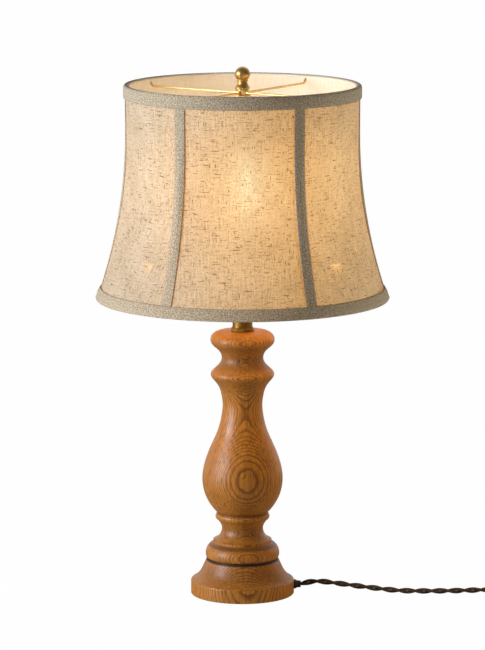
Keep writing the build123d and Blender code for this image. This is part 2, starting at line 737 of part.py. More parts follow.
def panel_circle(depth):
    """Centre distance and radius of the arc through two ribs and the middle between them."""
    rib = shade_radius(depth)
    chord_x, chord_y = rib * math.cos(half_panel), rib * math.sin(half_panel)
    middle = middle_radius(depth, rib)
    centre = (chord_x ** 2 + chord_y ** 2 - middle ** 2) / (2 * (chord_x - middle))
    return centre, middle - centre


def panel_point(depth, inset, share):
    """A point of the panel's arc at a share of its half angle, in the panel's own frame."""
    centre, radius = panel_circle(depth)
    rib = shade_radius(depth)
    half = math.atan2(rib * math.sin(half_panel), rib * math.cos(half_panel) - centre)
    around = half * share
    return (centre + (radius - inset) * math.cos(around), (radius - inset) * math.sin(around))


section_depths = [0.9, top_tape_height, shade_straight, 0.36 * shade_height, 0.52 * shade_height,
                  0.68 * shade_height, 0.82 * shade_height,
                  shade_height - bottom_tape_height, shade_height - 1.2]


def panel_solid(first_angle, inset, thickness, depths, side_gap):
    """Cloth between two ribs, lofted through one arc-sided strip at each depth."""
    with BuildPart() as cloth:
        for depth in depths:
            share = 1 - side_gap / (shade_radius(depth) * half_panel)
            outer = [panel_point(depth, inset, s) for s in (-share, 0, share)]
            inner = [panel_point(depth, inset + thickness, s) for s in (share, 0, -share)]
            with BuildSketch(Plane.XY.offset(shade_top - depth)
                             .rotated((0, 0, first_angle + panel_angle / 2))):
                with BuildLine():
                    ThreePointArc(*outer)
                    Line(outer[2], inner[0])
                    ThreePointArc(*inner)
                    Line(inner[2], outer[0])
                make_face()
        loft()
    return cloth


for number in range(panel_count):
    panel = panel_solid(shade_turn + number * panel_angle, 0, panel_thickness, section_depths,
                        panel_side_gap)
    keep(panel, f"shade_panel_{number + 1}")

# ---------------------------------------------------------------- lining
lining_share = 0.97


def ring_of_arcs(depth, inset):
    """A face bounded by six panel arcs at one depth."""
    with BuildSketch(Plane.XY.offset(shade_top - depth)) as section:
        with BuildLine():
            for number in range(panel_count):
                turn = shade_turn + (number + 0.5) * panel_angle
                arc = [Vector(*panel_point(depth, inset, s)).rotate(Axis.Z, turn)
                       for s in (-lining_share, 0, lining_share)]
                after = Vector(*panel_point(depth, inset, -lining_share))
                ThreePointArc(*arc)
                Line(arc[2], after.rotate(Axis.Z, turn + panel_angle))
        make_face()
    return section.sketch


lining_depths = [1.6] + section_depths[1:-1] + [shade_height - 2.4]
with BuildPart() as shade_lining:
    loft([ring_of_arcs(depth, lining_gap) for depth in lining_depths])
    hollow_depths = [lining_depths[0] - 1] + lining_depths[1:-1] + [lining_depths[-1] + 1]
    loft([ring_of_arcs(depth, lining_gap + lining_thickness) for depth in hollow_depths],
         mode=Mode.SUBTRACT)
    with PolarLocations(shade_top_radius - lining_gap, arm_count, start_angle=arm_turn):
        with Locations((0, 0, shade_top)):
            Box(12, 2 * arm_radius + 1.2, 2 * arm_drop + 4 * arm_radius, mode=Mode.SUBTRACT)
keep(shade_lining, "shade_lining")

# ---------------------------------------------------------------- shade frame
ring_radius = shade_top_radius - panel_thickness - slip - ring_wire_radius
bottom_ring_z = shade_bottom + ring_wire_radius + slip + tape_thickness
flare_slope = 2 * (shade_bottom_radius - shade_top_radius) / (shade_height - shade_straight)
bottom_ring_inset = (panel_thickness + slip + ring_wire_radius) * math.hypot(1, flare_slope)
bottom_ring_radius = shade_radius(shade_top - bottom_ring_z) - bottom_ring_inset
for label, radius, height in (("shade_top_ring", ring_radius, ring_z),
                              ("shade_bottom_ring", bottom_ring_radius, bottom_ring_z)):
    with BuildPart() as ring:
        with Locations((0, 0, height)):
            Torus(radius, ring_wire_radius)
    keep(ring, label)

rib_inset = panel_thickness + 2 * slip + rib_wire_radius
rib_ends = (shade_top - ring_z + ring_wire_radius + slip,
            shade_top - bottom_ring_z - ring_wire_radius - slip)
with BuildPart() as shade_ribs:
    for number in range(panel_count):
        rib_plane = Plane.XZ.rotated((0, 0, shade_turn + number * panel_angle))
        straight_end = (shade_radius(0) - rib_inset, shade_top - shade_straight)
        middle = (shade_straight + rib_ends[1]) / 2
        with BuildLine(rib_plane) as rib:
            Line((shade_radius(0) - rib_inset, shade_top - rib_ends[0]), straight_end)
            ThreePointArc(straight_end,
                          (shade_radius(middle) - rib_inset, shade_top - middle),
                          (shade_radius(rib_ends[1]) - rib_inset, shade_top - rib_ends[1]))
        rod(rib.line, rib_wire_radius)
keep(shade_ribs, "shade_ribs")

with BuildPart() as spider_hub:
    with Locations((0, 0, seat_z)):
        Cylinder(hub_radius, hub_height, align=(Align.CENTER, Align.CENTER, Align.MIN))
        Cylinder(hub_flange_radius, hub_flange_height,
                 align=(Align.CENTER, Align.CENTER, Align.MIN))
    fillet(spider_hub.edges().filter_by(GeomType.CIRCLE), 0.5)
    for number in range(arm_count):
        turn = math.radians(arm_turn + number * 360 / arm_count)
        with Locations(Plane((0, 0, arm_z), z_dir=(math.cos(turn), math.sin(turn), 0))):
            Cylinder(boss_radius, boss_reach, align=(Align.CENTER, Align.CENTER, Align.MIN))
    with Locations((0, 0, arm_z)):
        Cylinder(hub_bore, 2 * hub_height, mode=Mode.SUBTRACT)
keep(spider_hub, "spider_hub")

# Each arm's sloping end points at the middle of the ring's wire and stops at its surface.
slope_share = 1 - (ring_wire_radius + slip) / math.hypot(arm_slope_run, arm_drop)
arm_bend_x = ring_radius - arm_slope_run
for number in range(arm_count):
    arm_plane = Plane.XZ.rotated((0, 0, arm_turn + number * 360 / arm_count))
    with BuildPart() as spider_arm:
        with BuildLine(arm_plane) as arm:
            FilletPolyline((boss_reach, arm_z), (arm_bend_x, arm_z),
                           (arm_bend_x + slope_share * arm_slope_run,
                            arm_z + slope_share * arm_drop), radius=arm_bend_radius)
        rod(arm.line, arm_radius)
    keep(spider_arm, f"spider_arm_{number + 1}")

# ---------------------------------------------------------------- tapes


def edge_tape(points, label):
    """A bias tape folded over one rim, turned from the outline of its fold."""
    with BuildPart() as tape:
        with BuildSketch(Plane.XZ):
            with BuildLine():
                Polyline(*points, close=True)
            make_face()
        revolve(axis=Axis.Z)
    keep(tape, label)


tape_inset = (tape_gap + tape_thickness) / math.cos(half_panel / 2) + slip
tape_in = shade_top_radius + tape_inset
lining_inner = lining_gap + lining_thickness
top_in = shade_top_radius - lining_inner
edge_tape([(tape_in, shade_top - top_tape_height),
           (tape_in + edge_tape_thickness - 0.6, shade_top - top_tape_height),
           (tape_in + edge_tape_thickness, shade_top - top_tape_height + 1.2),
           (tape_in + edge_tape_thickness, shade_top - 1.0),
           (tape_in + edge_tape_thickness - 1.0, shade_top),
           (top_in, shade_top), (top_in, shade_top - tape_thickness),
           (tape_in, shade_top - tape_thickness)], "top_tape")

fold_depth = shade_height - bottom_tape_height
low_in = shade_radius(shade_height) + tape_inset
fold_in = shade_radius(fold_depth) + tape_inset
low_lining = shade_radius(shade_height) - lining_inner
edge_tape([(fold_in, shade_bottom + bottom_tape_height),
           (fold_in + edge_tape_thickness - 0.4, shade_bottom + bottom_tape_height - 0.3),
           (fold_in + edge_tape_thickness, shade_bottom + bottom_tape_height - 1.5),
           (low_in + edge_tape_thickness, shade_bottom + 1.2),
           (low_in + edge_tape_thickness - 1.2, shade_bottom),
           (low_lining, shade_bottom), (low_lining, shade_bottom + tape_thickness),
           (low_in, shade_bottom + tape_thickness)], "bottom_tape")


def tape_section(depth, number):
    """The tape over a rib: a strip bent over the corner where two panels meet."""
    rib = shade_radius(depth)
    centre, radius = panel_circle(depth)
    half = math.atan2(rib * math.sin(half_panel), rib * math.cos(half_panel) - centre)
    share = 1 - rib_tape_width / 2 / (radius * half)
    points = []
    for inset in (-tape_gap, -tape_gap - tape_thickness):
        before = Vector(*panel_point(depth, inset, share)).rotate(Axis.Z, -panel_angle / 2)
        after = Vector(before.X, -before.Y)
        corner = Vector(rib - inset / math.cos(half_panel / 2), 0)
        points += [before, corner, after] if inset == -tape_gap else [after, corner, before]
    with BuildSketch(Plane.XY.offset(shade_top - depth)
                     .rotated((0, 0, shade_turn + number * panel_angle))) as section:
        with BuildLine():
            Polyline(*points, close=True)
        make_face()
    return section.sketch


with BuildPart() as rib_tapes:
    for number in range(panel_count):
        loft([tape_section(depth, number) for depth in section_depths[:-1]])
keep(rib_tapes, "rib_tapes")

# ---------------------------------------------------------------- finial
with BuildPart() as finial:
    ball_z = hub_top + ball_centre_height
    neck_meet = ball_z - math.sqrt(ball_radius ** 2 - finial_neck_radius ** 2)
    with BuildSketch(Plane.XZ):
        with BuildLine():
            Polyline((0, hub_top), (finial_foot_radius - 0.4, hub_top),
                     (finial_foot_radius, hub_top + 0.5), (finial_foot_radius, hub_top + 2.9))
            ThreePointArc((finial_foot_radius, hub_top + 2.9),
                          (finial_neck_radius + 0.8, hub_top + 5.4),
                          (finial_neck_radius - 0.2, neck_meet - 2.2))
            Polyline((finial_neck_radius - 0.2, neck_meet - 2.2),
                     (finial_neck_radius + 0.5, neck_meet - 1.6),
                     (finial_neck_radius + 0.5, neck_meet - 0.6), (finial_neck_radius, neck_meet))
            ThreePointArc((finial_neck_radius, neck_meet), (ball_radius, ball_z),
                          (0, ball_z + ball_radius))
            Line((0, ball_z + ball_radius), (0, hub_top))
        make_face()
    revolve(axis=Axis.Z)
    with Locations((0, 0, hub_top)):
        Cylinder(finial_bore, stud_length - hub_height + 0.8, mode=Mode.SUBTRACT,
                 align=(Align.CENTER, Align.CENTER, Align.MIN))
keep(finial, "finial")

# ---------------------------------------------------------------- cord inside the lamp
cord_top = socket_z + cap_hub_height + 3.0
with BuildPart() as inner_cord:
    with BuildLine() as inside:
        FilletPolyline((bushing_end_x, 0, cord_exit_z), (0, 0, cord_exit_z), (0, 0, cord_top),
                       radius=cord_bend_radius)
    rod(inside.line, cord_radius)
keep(inner_cord, "inner_cord")

with BuildPart() as lead_wires:
    for side in (-1, 1):
        wire_x = block_flat + lead_radius + slip
        with BuildLine(Plane.XZ) as wire:
            FilletPolyline((side * (lead_radius + 0.4), cord_top),
                           (side * (lead_radius + 0.4), cord_top + 3.6),
                           (side * wire_x, block_z - 3.0),
                           (side * wire_x, terminal_z - terminal_head_radius - slip),
                           radius=1.6)
        rod(wire.line, lead_radius)
keep(lead_wires, "lead_wires")

# ---------------------------------------------------------------- free cord
# The coil starts below its middle, heading +X, and ends above its start, heading +X again.
coil_z = tie_thickness + tie_gap + cord_radius
coil_start = (342.0, -2.0, coil_z)
route = [(bushing_end_x, 0, cord_exit_z), (77.0, 0, cord_exit_z), (91.0, -0.4, 13.9),
         (112.0, -1.2, 14.2), (134.0, -2.4, 10.4), (156.0, -3.8, 5.2), (180.0, -5.2, 3.7),
         (212.0, -6.6, 3.5), (247.0, -5.0, 3.6), (281.0, -2.6, 3.8), (313.0, -2.0, coil_z),
         coil_start]


def cord_radii(points):
    """Bend radius at each corner: 0.45 of the shorter run over the tangent of half the turn."""
    radii = []
    for before, corner, after in zip(points, points[1:], points[2:]):
        first, second = Vector(*corner) - Vector(*before), Vector(*after) - Vector(*corner)
        turn = math.radians(first.get_angle(second))
        radii.append(0.45 * min(first.length, second.length) / math.tan(turn / 2))
    return radii


def cord_tube(points, label):
    """A free stretch of cord: straight runs joined by tangent arcs."""
    radii = cord_radii(points)
    with BuildPart() as tube:
        with BuildLine() as path:
            FilletPolyline(*points, radius=radii)
        rod(path.line, cord_radius)
    length = sum(edge.length for edge in path.edges())
    print(label, "length", round(length, 1), "radii", [round(r) for r in radii])
    print("  volume over section times length",
          round(tube.part.volume / (math.pi * cord_radius ** 2 * length), 4))
    keep(tube, label)


cord_tube(route, "cord_lead")

coil_rate = coil_turn_pitch / (2 * math.pi)
layer_angle = 2 * math.pi * coil_layer_turns
total_angle = 2 * layer_angle + math.pi


def coil_radius(angle):
    """Steady spiral in, a half turn where it eases round, and steadily out again."""
    if angle <= layer_angle:
        return coil_outer_radius - coil_rate * angle
    if angle >= layer_angle + math.pi:
        return coil_radius(total_angle - angle)
    into = angle - layer_angle
    return coil_radius(layer_angle) - coil_rate * (into - into ** 2 / math.pi)


def coil_height(angle):
    """Level in each layer, climbing smoothly through the half turn between them."""
    climb = min(max((angle - layer_angle) / math.pi, 0), 1)
    return coil_z + coil_layer_pitch * (climb - math.sin(2 * math.pi * climb) / (2 * math.pi))


lead_in = math.atan(coil_rate / coil_outer_radius)
first_angle = -math.pi / 2 - lead_in
coil_centre = (coil_start[0] + 2 * cord_radius - coil_outer_radius * math.cos(first_angle),
               coil_start[1] - coil_outer_radius * math.sin(first_angle))


def coil_point(angle):
    """A point of the coil's centre line."""
    around = first_angle + angle
    radius = coil_radius(angle)
    return Vector(coil_centre[0] + radius * math.cos(around),
                  coil_centre[1] + radius * math.sin(around), coil_height(angle))


def coil_tangent(angle):
    """Direction of the coil's centre line."""
    step = 1e-4
    low, high = max(angle - step, 0), min(angle + step, total_angle)
    return (coil_point(high) - coil_point(low)).normalized()


def biarc(start, start_way, end, end_way):
    """Two arcs that meet smoothly and keep both end directions."""
    across, ways = end - start, start_way + end_way
    a = 2 * (start_way.dot(end_way) - 1)
    b = -2 * across.dot(ways)
    c = across.dot(across)
    reach = (-b - math.sqrt(b * b - 4 * a * c)) / (2 * a)
    joint = (start + end + (start_way - end_way) * reach) * 0.5
    first = TangentArc(start, joint, tangent=start_way)
    TangentArc(joint, end, tangent=first % 1)


quarters = round(total_angle / (math.pi / 2))
stops = [total_angle * k / quarters for k in range(quarters + 1)]
coil_end = coil_point(total_angle) + coil_tangent(total_angle) * 2 * cord_radius
with BuildPart() as cord_coil:
    with BuildLine() as winding:
        Line(coil_start, coil_point(0))
        for low, high in zip(stops, stops[1:]):
            biarc(coil_point(low), coil_tangent(low), coil_point(high), coil_tangent(high))
        Line(coil_point(total_angle), coil_end)
    rod(winding.line, cord_radius)
keep(cord_coil, "cord_coil")


def least_gap(step=0.12):
    """Least clear distance between turns of the coil, measured on points of its line."""
    count = int(total_angle / step)
    points = [coil_point(total_angle * k / count) for k in range(count + 1)]
    skip = int(1.2 * math.pi / step)
    return min((a - b).length for i, a in enumerate(points) for b in points[i + skip:]) \
        - 2 * cord_radius


coil_length = sum(edge.length for edge in winding.edges())
print("coil length", round(coil_length, 1), "least gap", round(least_gap(), 2))

plug_way = Vector(math.cos(math.radians(plug_turn)), math.sin(math.radians(plug_turn)), 0)
tail_bend = coil_end + coil_tangent(total_angle) * 18.0
plug_start = tail_bend + plug_way * 18.0
cord_tube([tuple(coil_end), tuple(tail_bend), tuple(plug_start)], "cord_tail")

# ---------------------------------------------------------------- tie and plug
tie_inner = coil_radius(layer_angle + math.pi / 2) - cord_radius - tie_gap
tie_outer = coil_outer_radius + cord_radius + tie_gap
tie_low = coil_z - cord_radius - tie_gap
tie_high = coil_z + coil_layer_pitch + cord_radius + tie_gap
with BuildPart() as cord_tie:
    with Locations((coil_centre[0] + (tie_inner + tie_outer) / 2, coil_centre[1],
                    (tie_low + tie_high) / 2)):
        Box(tie_outer - tie_inner + 2 * tie_thickness, tie_width,
            tie_high - tie_low + 2 * tie_thickness)
        Box(tie_outer - tie_inner, 2 * tie_width, tie_high - tie_low, mode=Mode.SUBTRACT)
keep(cord_tie, "cord_tie")

plug_plane = Plane(origin=plug_start, x_dir=plug_way, z_dir=plug_way.cross(Vector(0, 0, 1)))
with BuildPart() as plug_body:
    with BuildSketch(plug_plane):
        with BuildLine():
            Polyline((0, 0), (0, cord_radius + 0.8), (6.0, cord_radius + 1.4))
            Spline((6.0, cord_radius + 1.4), (11.0, plug_radius - 2.4), (17.0, plug_radius))
            Polyline((17.0, plug_radius), (plug_length - 1.2, plug_radius),
                     (plug_length, plug_radius - 1.2), (plug_length, 0), (0, 0))
        make_face()
    revolve(axis=Axis(plug_start, plug_way))
keep(plug_body, "plug_body")

blade_plane = Plane(origin=plug_start + plug_way * plug_length, x_dir=(0, 0, 1), z_dir=plug_way)
with BuildPart() as plug_blades:
    with BuildSketch(blade_plane):
        with Locations((0, -blade_spacing / 2), (0, blade_spacing / 2)):
            Rectangle(blade_width, blade_thickness)
    extrude(amount=blade_length)
    chamfer(plug_blades.faces().sort_by(Axis(plug_start, plug_way))[-2:].edges(), 0.4)
    with Locations(Plane(blade_plane.origin + plug_way * (blade_length - 4.5),
                         z_dir=plug_way.cross(Vector(0, 0, 1)))):
        Cylinder(1.5, 2 * blade_spacing, mode=Mode.SUBTRACT)
keep(plug_blades, "plug_blades")
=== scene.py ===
"""Looks of the candlestick lamp: oiled oak turnings, aged brass, a glowing linen shade with bias
tapes, and a twisted cloth cord. Sizes are in metres, +Z is up and the front faces -Y."""
import math

import bpy
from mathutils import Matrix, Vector, noise


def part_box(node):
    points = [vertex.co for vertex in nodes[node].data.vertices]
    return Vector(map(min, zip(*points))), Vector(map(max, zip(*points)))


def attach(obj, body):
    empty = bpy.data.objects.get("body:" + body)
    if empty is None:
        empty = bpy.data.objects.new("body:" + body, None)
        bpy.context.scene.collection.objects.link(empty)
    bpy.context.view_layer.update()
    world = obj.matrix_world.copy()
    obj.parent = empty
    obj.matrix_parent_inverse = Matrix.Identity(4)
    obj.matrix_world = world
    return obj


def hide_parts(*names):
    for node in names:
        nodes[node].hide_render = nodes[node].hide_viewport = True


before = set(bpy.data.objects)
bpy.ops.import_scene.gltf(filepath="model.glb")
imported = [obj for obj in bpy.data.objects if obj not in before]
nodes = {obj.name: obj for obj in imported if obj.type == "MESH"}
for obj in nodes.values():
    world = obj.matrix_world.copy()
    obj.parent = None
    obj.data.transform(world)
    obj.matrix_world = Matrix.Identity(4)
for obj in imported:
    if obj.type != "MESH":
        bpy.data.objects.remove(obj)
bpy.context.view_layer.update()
scene = bpy.context.scene
scene.view_settings.view_transform = "Standard"

# -------- camera
PHOTO_WIDTH = 485
FOCAL_PIXELS = 3750.0
CAMERA_PLACE = (0.0, -4.219, 1.0348)
CAMERA_TILT = math.radians(9.7)

camera_data = bpy.data.cameras.new("camera")
camera_data.sensor_fit = "HORIZONTAL"
camera_data.sensor_width = 36.0
camera_data.lens = FOCAL_PIXELS / PHOTO_WIDTH * camera_data.sensor_width
camera_data.clip_end = 50.0
camera = bpy.data.objects.new("camera", camera_data)
camera.location = CAMERA_PLACE
camera.rotation_euler = (math.pi / 2 - CAMERA_TILT, 0, 0)
scene.collection.objects.link(camera)
scene.camera = camera

# -------- node helpers


def add(tree, kind, settings=None, sockets=None):
    """Adds a shader node with its settings; sockets hold numbers, colours or output sockets."""
    made = tree.nodes.new(kind)
    for key, value in (settings or {}).items():
        setattr(made, key, value)
    for key, value in (sockets or {}).items():
        if isinstance(value, bpy.types.NodeSocket):
            tree.links.new(value, made.inputs[key])
        else:
            made.inputs[key].default_value = value
    return made


def calc(tree, operation, first, second=0.0, third=0.0):
    """One arithmetic step."""
    return add(tree, "ShaderNodeMath", {"operation": operation},
               {0: first, 1: second, 2: third}).outputs[0]


def product(tree, first, *others):
    """Numbers multiplied together."""
    for other in others:
        first = calc(tree, "MULTIPLY", first, other)
    return first


def total(tree, first, *others):
    """Numbers added together."""
    for other in others:
        first = calc(tree, "ADD", first, other)
    return first


def squared(tree, value, reach):
    """The square of a value that is measured in reaches."""
    return calc(tree, "POWER", calc(tree, "DIVIDE", value, reach), 2.0)


def bell(tree, value):
    """1 where the value is 0, and less and less as it grows."""
    return calc(tree, "EXPONENT", product(tree, value, -1.0))


def vector_calc(tree, operation, first, second):
    """One vector step; a dot product or length comes out as a number."""
    made = add(tree, "ShaderNodeVectorMath", {"operation": operation}, {0: first, 1: second})
    return made.outputs["Value" if operation in ("DOT_PRODUCT", "LENGTH") else "Vector"]


def span(tree, value, low, high, to_low=0.0, to_high=1.0):
    """Maps low..high to to_low..to_high smoothly, and stays at the ends beyond them."""
    return add(tree, "ShaderNodeMapRange", {"interpolation_type": "SMOOTHSTEP"},
               {"Value": value, "From Min": low, "From Max": high,
                "To Min": to_low, "To Max": to_high}).outputs[0]


def mixed(tree, share, first, second):
    """Two colours mixed by a share."""
    made = add(tree, "ShaderNodeMix", {"data_type": "RGBA"})
    for index, value in ((0, share), (6, first), (7, second)):
        if isinstance(value, bpy.types.NodeSocket):
            tree.links.new(value, made.inputs[index])
        else:
            made.inputs[index].default_value = (*value, 1.0) if index else value
    return made.outputs[2]


def speckle(tree, where, stretch, detail=2.0, roughness=0.5, distortion=0.0):
    """Noise from 0 to 1 whose cells per metre along each axis are given by stretch."""
    place = vector_calc(tree, "MULTIPLY", where, stretch)
    return add(tree, "ShaderNodeTexNoise", None,
               {"Vector": place, "Scale": 1.0, "Detail": detail, "Roughness": roughness,
                "Distortion": distortion}).outputs[0]


def wander(tree, where, stretch, reach, detail):
    """A shift that varies from place to place, by up to half of reach each way."""
    color = add(tree, "ShaderNodeTexNoise", None,
                {"Vector": vector_calc(tree, "MULTIPLY", where, stretch), "Scale": 1.0,
                 "Detail": detail}).outputs["Color"]
    centred = vector_calc(tree, "SUBTRACT", color, (0.5, 0.5, 0.5))
    return vector_calc(tree, "MULTIPLY", centred, reach)


def bumped(tree, height, distance, strength=1.0):
    """A normal from a height, where distance is the height of 1 in metres."""
    return add(tree, "ShaderNodeBump", None,
               {"Height": height, "Distance": distance, "Strength": strength}).outputs[0]


def axes(tree, place):
    """The three numbers of a place."""
    return add(tree, "ShaderNodeSeparateXYZ", None, {0: place}).outputs


def object_place(tree):
    """Place on the piece in the lamp's frame."""
    return add(tree, "ShaderNodeTexCoord").outputs["Object"]


def layer_place(tree, layer):
    """Place on one of the piece's flat layers."""
    return add(tree, "ShaderNodeUVMap", {"uv_map": layer}).outputs[0]


def cloth_place(tree):
    """Place on flat cloth: metres across and metres down."""
    return layer_place(tree, "cloth")


def material_tree(name):
    """An empty node material and its tree."""
    material = bpy.data.materials.new(name)
    material.use_nodes = True
    material.node_tree.nodes.clear()
    return material, material.node_tree


def finish_material(tree, shader):
    """Connects the shader to the surface."""
    output = add(tree, "ShaderNodeOutputMaterial")
    tree.links.new(shader, output.inputs["Surface"])


def principled(tree, sockets):
    """The main shader."""
    return add(tree, "ShaderNodeBsdfPrincipled", None, sockets).outputs[0]


# -------- wood
OAK_LIGHT = (0.57, 0.218, 0.020)
OAK_MIDDLE = (0.37, 0.126, 0.010)
OAK_DARK = (0.095, 0.024, 0.003)
PORE_COLOR = (0.040, 0.011, 0.002)
RING_SPACING = 0.0017
RING_UNEVEN = 1.1
UNEVEN_SCALE = 130.0
BOW_DEPTH = 0.0013
BOW_REACH = 0.020
PITH_LEAN = 0.075
LEAN_HEIGHT = 0.135
RING_START = 0.5 + BOW_DEPTH / RING_SPACING
DRIFT_CELLS, DRIFT_REACH = (9.0, 9.0, 5.0), (0.010, 0.010, 0.0)
FRAY_CELLS, FRAY_REACH = (260.0, 260.0, 22.0), (0.0007, 0.0007, 0.0)
STREAK_CELLS = (420.0, 420.0, 9.0)
PATCH_CELLS = (26.0, 26.0, 7.0)
PORE_CELLS = (650.0, 650.0, 85.0)
PAINTED_SHADE_COLOR = (0.045, 0.013, 0.003)
# Painted shade in the turned grooves and under the beads: height, full within, gone beyond,
# strength.
PAINTED_SHADE_BANDS = ((0.0418, 0.0011, 0.0030, 0.95), (0.0587, 0.0008, 0.0026, 0.6),
           (0.0963, 0.0008, 0.0030, 0.55), (0.0295, 0.004, 0.015, 0.30),
           (0.0755, 0.002, 0.011, 0.34), (0.272, 0.003, 0.013, 0.42))


def distance_from_pith(tree, where, level, pith):
    """Distance from a pith that leans, and that bows out at the belly's height."""
    moved = vector_calc(tree, "ADD", where, wander(tree, where, DRIFT_CELLS, DRIFT_REACH, 2.0))
    moved = vector_calc(tree, "ADD", moved, wander(tree, where, FRAY_CELLS, FRAY_REACH, 3.0))
    flat = vector_calc(tree, "MULTIPLY", vector_calc(tree, "SUBTRACT", moved, pith),
                       (1.0, 1.0, 0.0))
    rise = calc(tree, "SUBTRACT", level, LEAN_HEIGHT)
    bow = bell(tree, squared(tree, rise, BOW_REACH))
    leaning = calc(tree, "SUBTRACT", product(tree, rise, PITH_LEAN),
                   product(tree, bow, BOW_DEPTH))
    return total(tree, vector_calc(tree, "LENGTH", flat, (0.0, 0.0, 0.0)), leaning)


def oak(name, pith):
    """Oak cut from one side of the tree: growth rings round a pith behind the piece."""
    material, tree = material_tree(name)
    where = object_place(tree)
    level = axes(tree, where)[2]
    from_pith = distance_from_pith(tree, where, level, pith)
    uneven = add(tree, "ShaderNodeTexNoise", {"noise_dimensions": "1D"},
                 {"W": from_pith, "Scale": UNEVEN_SCALE, "Detail": 1.0}).outputs[0]
    count = total(tree, calc(tree, "DIVIDE", from_pith, RING_SPACING),
                  product(tree, uneven, RING_UNEVEN))
    ring = calc(tree, "FRACT", total(tree, count, RING_START))
    late = product(tree, span(tree, ring, 0.48, 0.92), span(tree, ring, 1.0, 0.94))
    early = span(tree, ring, 0.55, 0.05)
    streaks = speckle(tree, where, STREAK_CELLS, 3.0)
    patches = speckle(tree, where, PATCH_CELLS, 2.0)
    pores = product(tree, span(tree, speckle(tree, where, PORE_CELLS, 1.0), 0.60, 0.70),
                    total(tree, product(tree, early, 0.5), 0.4))
    color = mixed(tree, span(tree, streaks, 0.3, 0.75), OAK_LIGHT, OAK_MIDDLE)
    depth = span(tree, patches, 0.35, 0.65, 0.62, 0.95)
    color = mixed(tree, product(tree, late, depth), color, OAK_DARK)
    color = mixed(tree, product(tree, span(tree, patches, 0.42, 0.7), 0.4), color, OAK_MIDDLE)
    color = mixed(tree, product(tree, pores, 0.85), color, PORE_COLOR)
    # Painted shade: the wood darkens in bands at the grooves and under the beads.
    for place, inner, outer, strength in PAINTED_SHADE_BANDS:
        away = calc(tree, "ABSOLUTE", calc(tree, "SUBTRACT", level, place))
        color = mixed(tree, span(tree, away, inner, outer, strength, 0.0), color, PAINTED_SHADE_COLOR)
    gloss = span(tree, speckle(tree, where, (60.0, 60.0, 20.0)), 0.3, 0.7, 0.40, 0.54)
    height = calc(tree, "SUBTRACT", product(tree, late, 0.25), pores)
    finish_material(tree, principled(tree, {
        "Base Color": color, "Roughness": gloss, "Normal": bumped(tree, height, 0.00012, 0.7),
        "Specular IOR Level": 0.40, "Coat Weight": 0.17, "Coat Roughness": 0.34}))
    return material


# -------- metals


def metal(name, clean, tarnish, tarnish_amount, smooth, rough):
    """Metal whose tarnish sits in soft patches and dulls it."""
    material, tree = material_tree(name)
    where = object_place(tree)
    cloud = speckle(tree, where, (140.0, 140.0, 140.0), 4.0, 0.6)
    fine = speckle(tree, where, (300.0, 300.0, 300.0), 3.0)
    share = total(tree, product(tree, span(tree, cloud, 0.38, 0.68), tarnish_amount),
                  product(tree, fine, 0.12))
    height = total(tree, cloud, product(tree, fine, 0.5))
    finish_material(tree, principled(tree, {
        "Base Color": mixed(tree, share, clean, tarnish), "Metallic": 1.0,
        "Roughness": span(tree, total(tree, cloud, fine), 0.7, 1.3, smooth, rough),
        "Normal": bumped(tree, height, 0.00003, 0.6)}))
    return material


# -------- plastics and the like


def moulded(name, low, high, smooth, rough):
    """Moulded plastic or paper with a fine grain and a slightly uneven colour."""
    material, tree = material_tree(name)
    where = object_place(tree)
    cloud = speckle(tree, where, (70.0, 70.0, 70.0), 3.0)
    fine = speckle(tree, where, (900.0, 900.0, 900.0), 2.0)
    finish_material(tree, principled(tree, {
        "Base Color": mixed(tree, span(tree, cloud, 0.3, 0.7), low, high),
        "Roughness": span(tree, fine, 0.3, 0.7, smooth, rough),
        "Normal": bumped(tree, fine, 0.00004, 0.5)}))
    return material


# -------- cloth materials
SHADE_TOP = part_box("top_tape")[1].z
BULB_CENTRE = Vector((0.0, 0.0, sum(corner.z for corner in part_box("bulb_filaments")) / 2))
# The bulb's light through the linen is painted in as emission: its reach, fall, strength and
# colours.
GLOW_REACH = 0.128
GLOW_FALL = 1.05
GLOW_STRENGTH = 0.765
GLOW_COLOR = (1.0, 0.525, 0.145)
CORE_COLOR = (1.0, 0.80, 0.42)
CORE_PLACE = (0.008, 0.009)
# The bright core's ovals: strength, half width, half height.
CORE_OVALS = ((0.45, 0.024, 0.044), (0.34, 0.0070, 0.022))
CORE_LIFT = 0.12
FLECK_GLOW = (0.85, 0.30, 0.05)
SEAM_GLOW = (1.0, 0.43, 0.08)
SEAM_INNER, SEAM_OUTER = 0.0082, 0.0104
# How much of the painted bright core each panel shows, counted from the front one.
CORE_SHARES = (1.0, 0.2, 0.2, 1.0, 0.2, 0.2)
LINEN_PALE = (0.48, 0.440, 0.365)
LINEN_DEEP = (0.350, 0.290, 0.205)
FLECK_COLOR = (0.120, 0.050, 0.013)
FLECK_SHADE = 0.55
# Yarns of the weave: noise cells per metre and share in the pattern.
YARNS = (((560.0, 48.0, 1.0), 0.34), ((75.0, 560.0, 1.0), 0.26), ((560.0, 560.0, 1.0), 0.40))
# Flecks across and down: noise cells per metre, where they start and where they are full.
FLECKS = (((85.0, 740.0, 1.0), 0.70, 0.79), ((740.0, 150.0, 1.0), 0.71, 0.80))


def bulb_light(tree, where):
    """How brightly the cloth there glows: it falls off slowly, as the lining spreads the light."""
    offset = vector_calc(tree, "SUBTRACT", where, tuple(BULB_CENTRE))
    away = vector_calc(tree, "LENGTH", offset, (0.0, 0.0, 0.0))
    return calc(tree, "POWER", calc(tree, "DIVIDE", GLOW_REACH, away), GLOW_FALL)


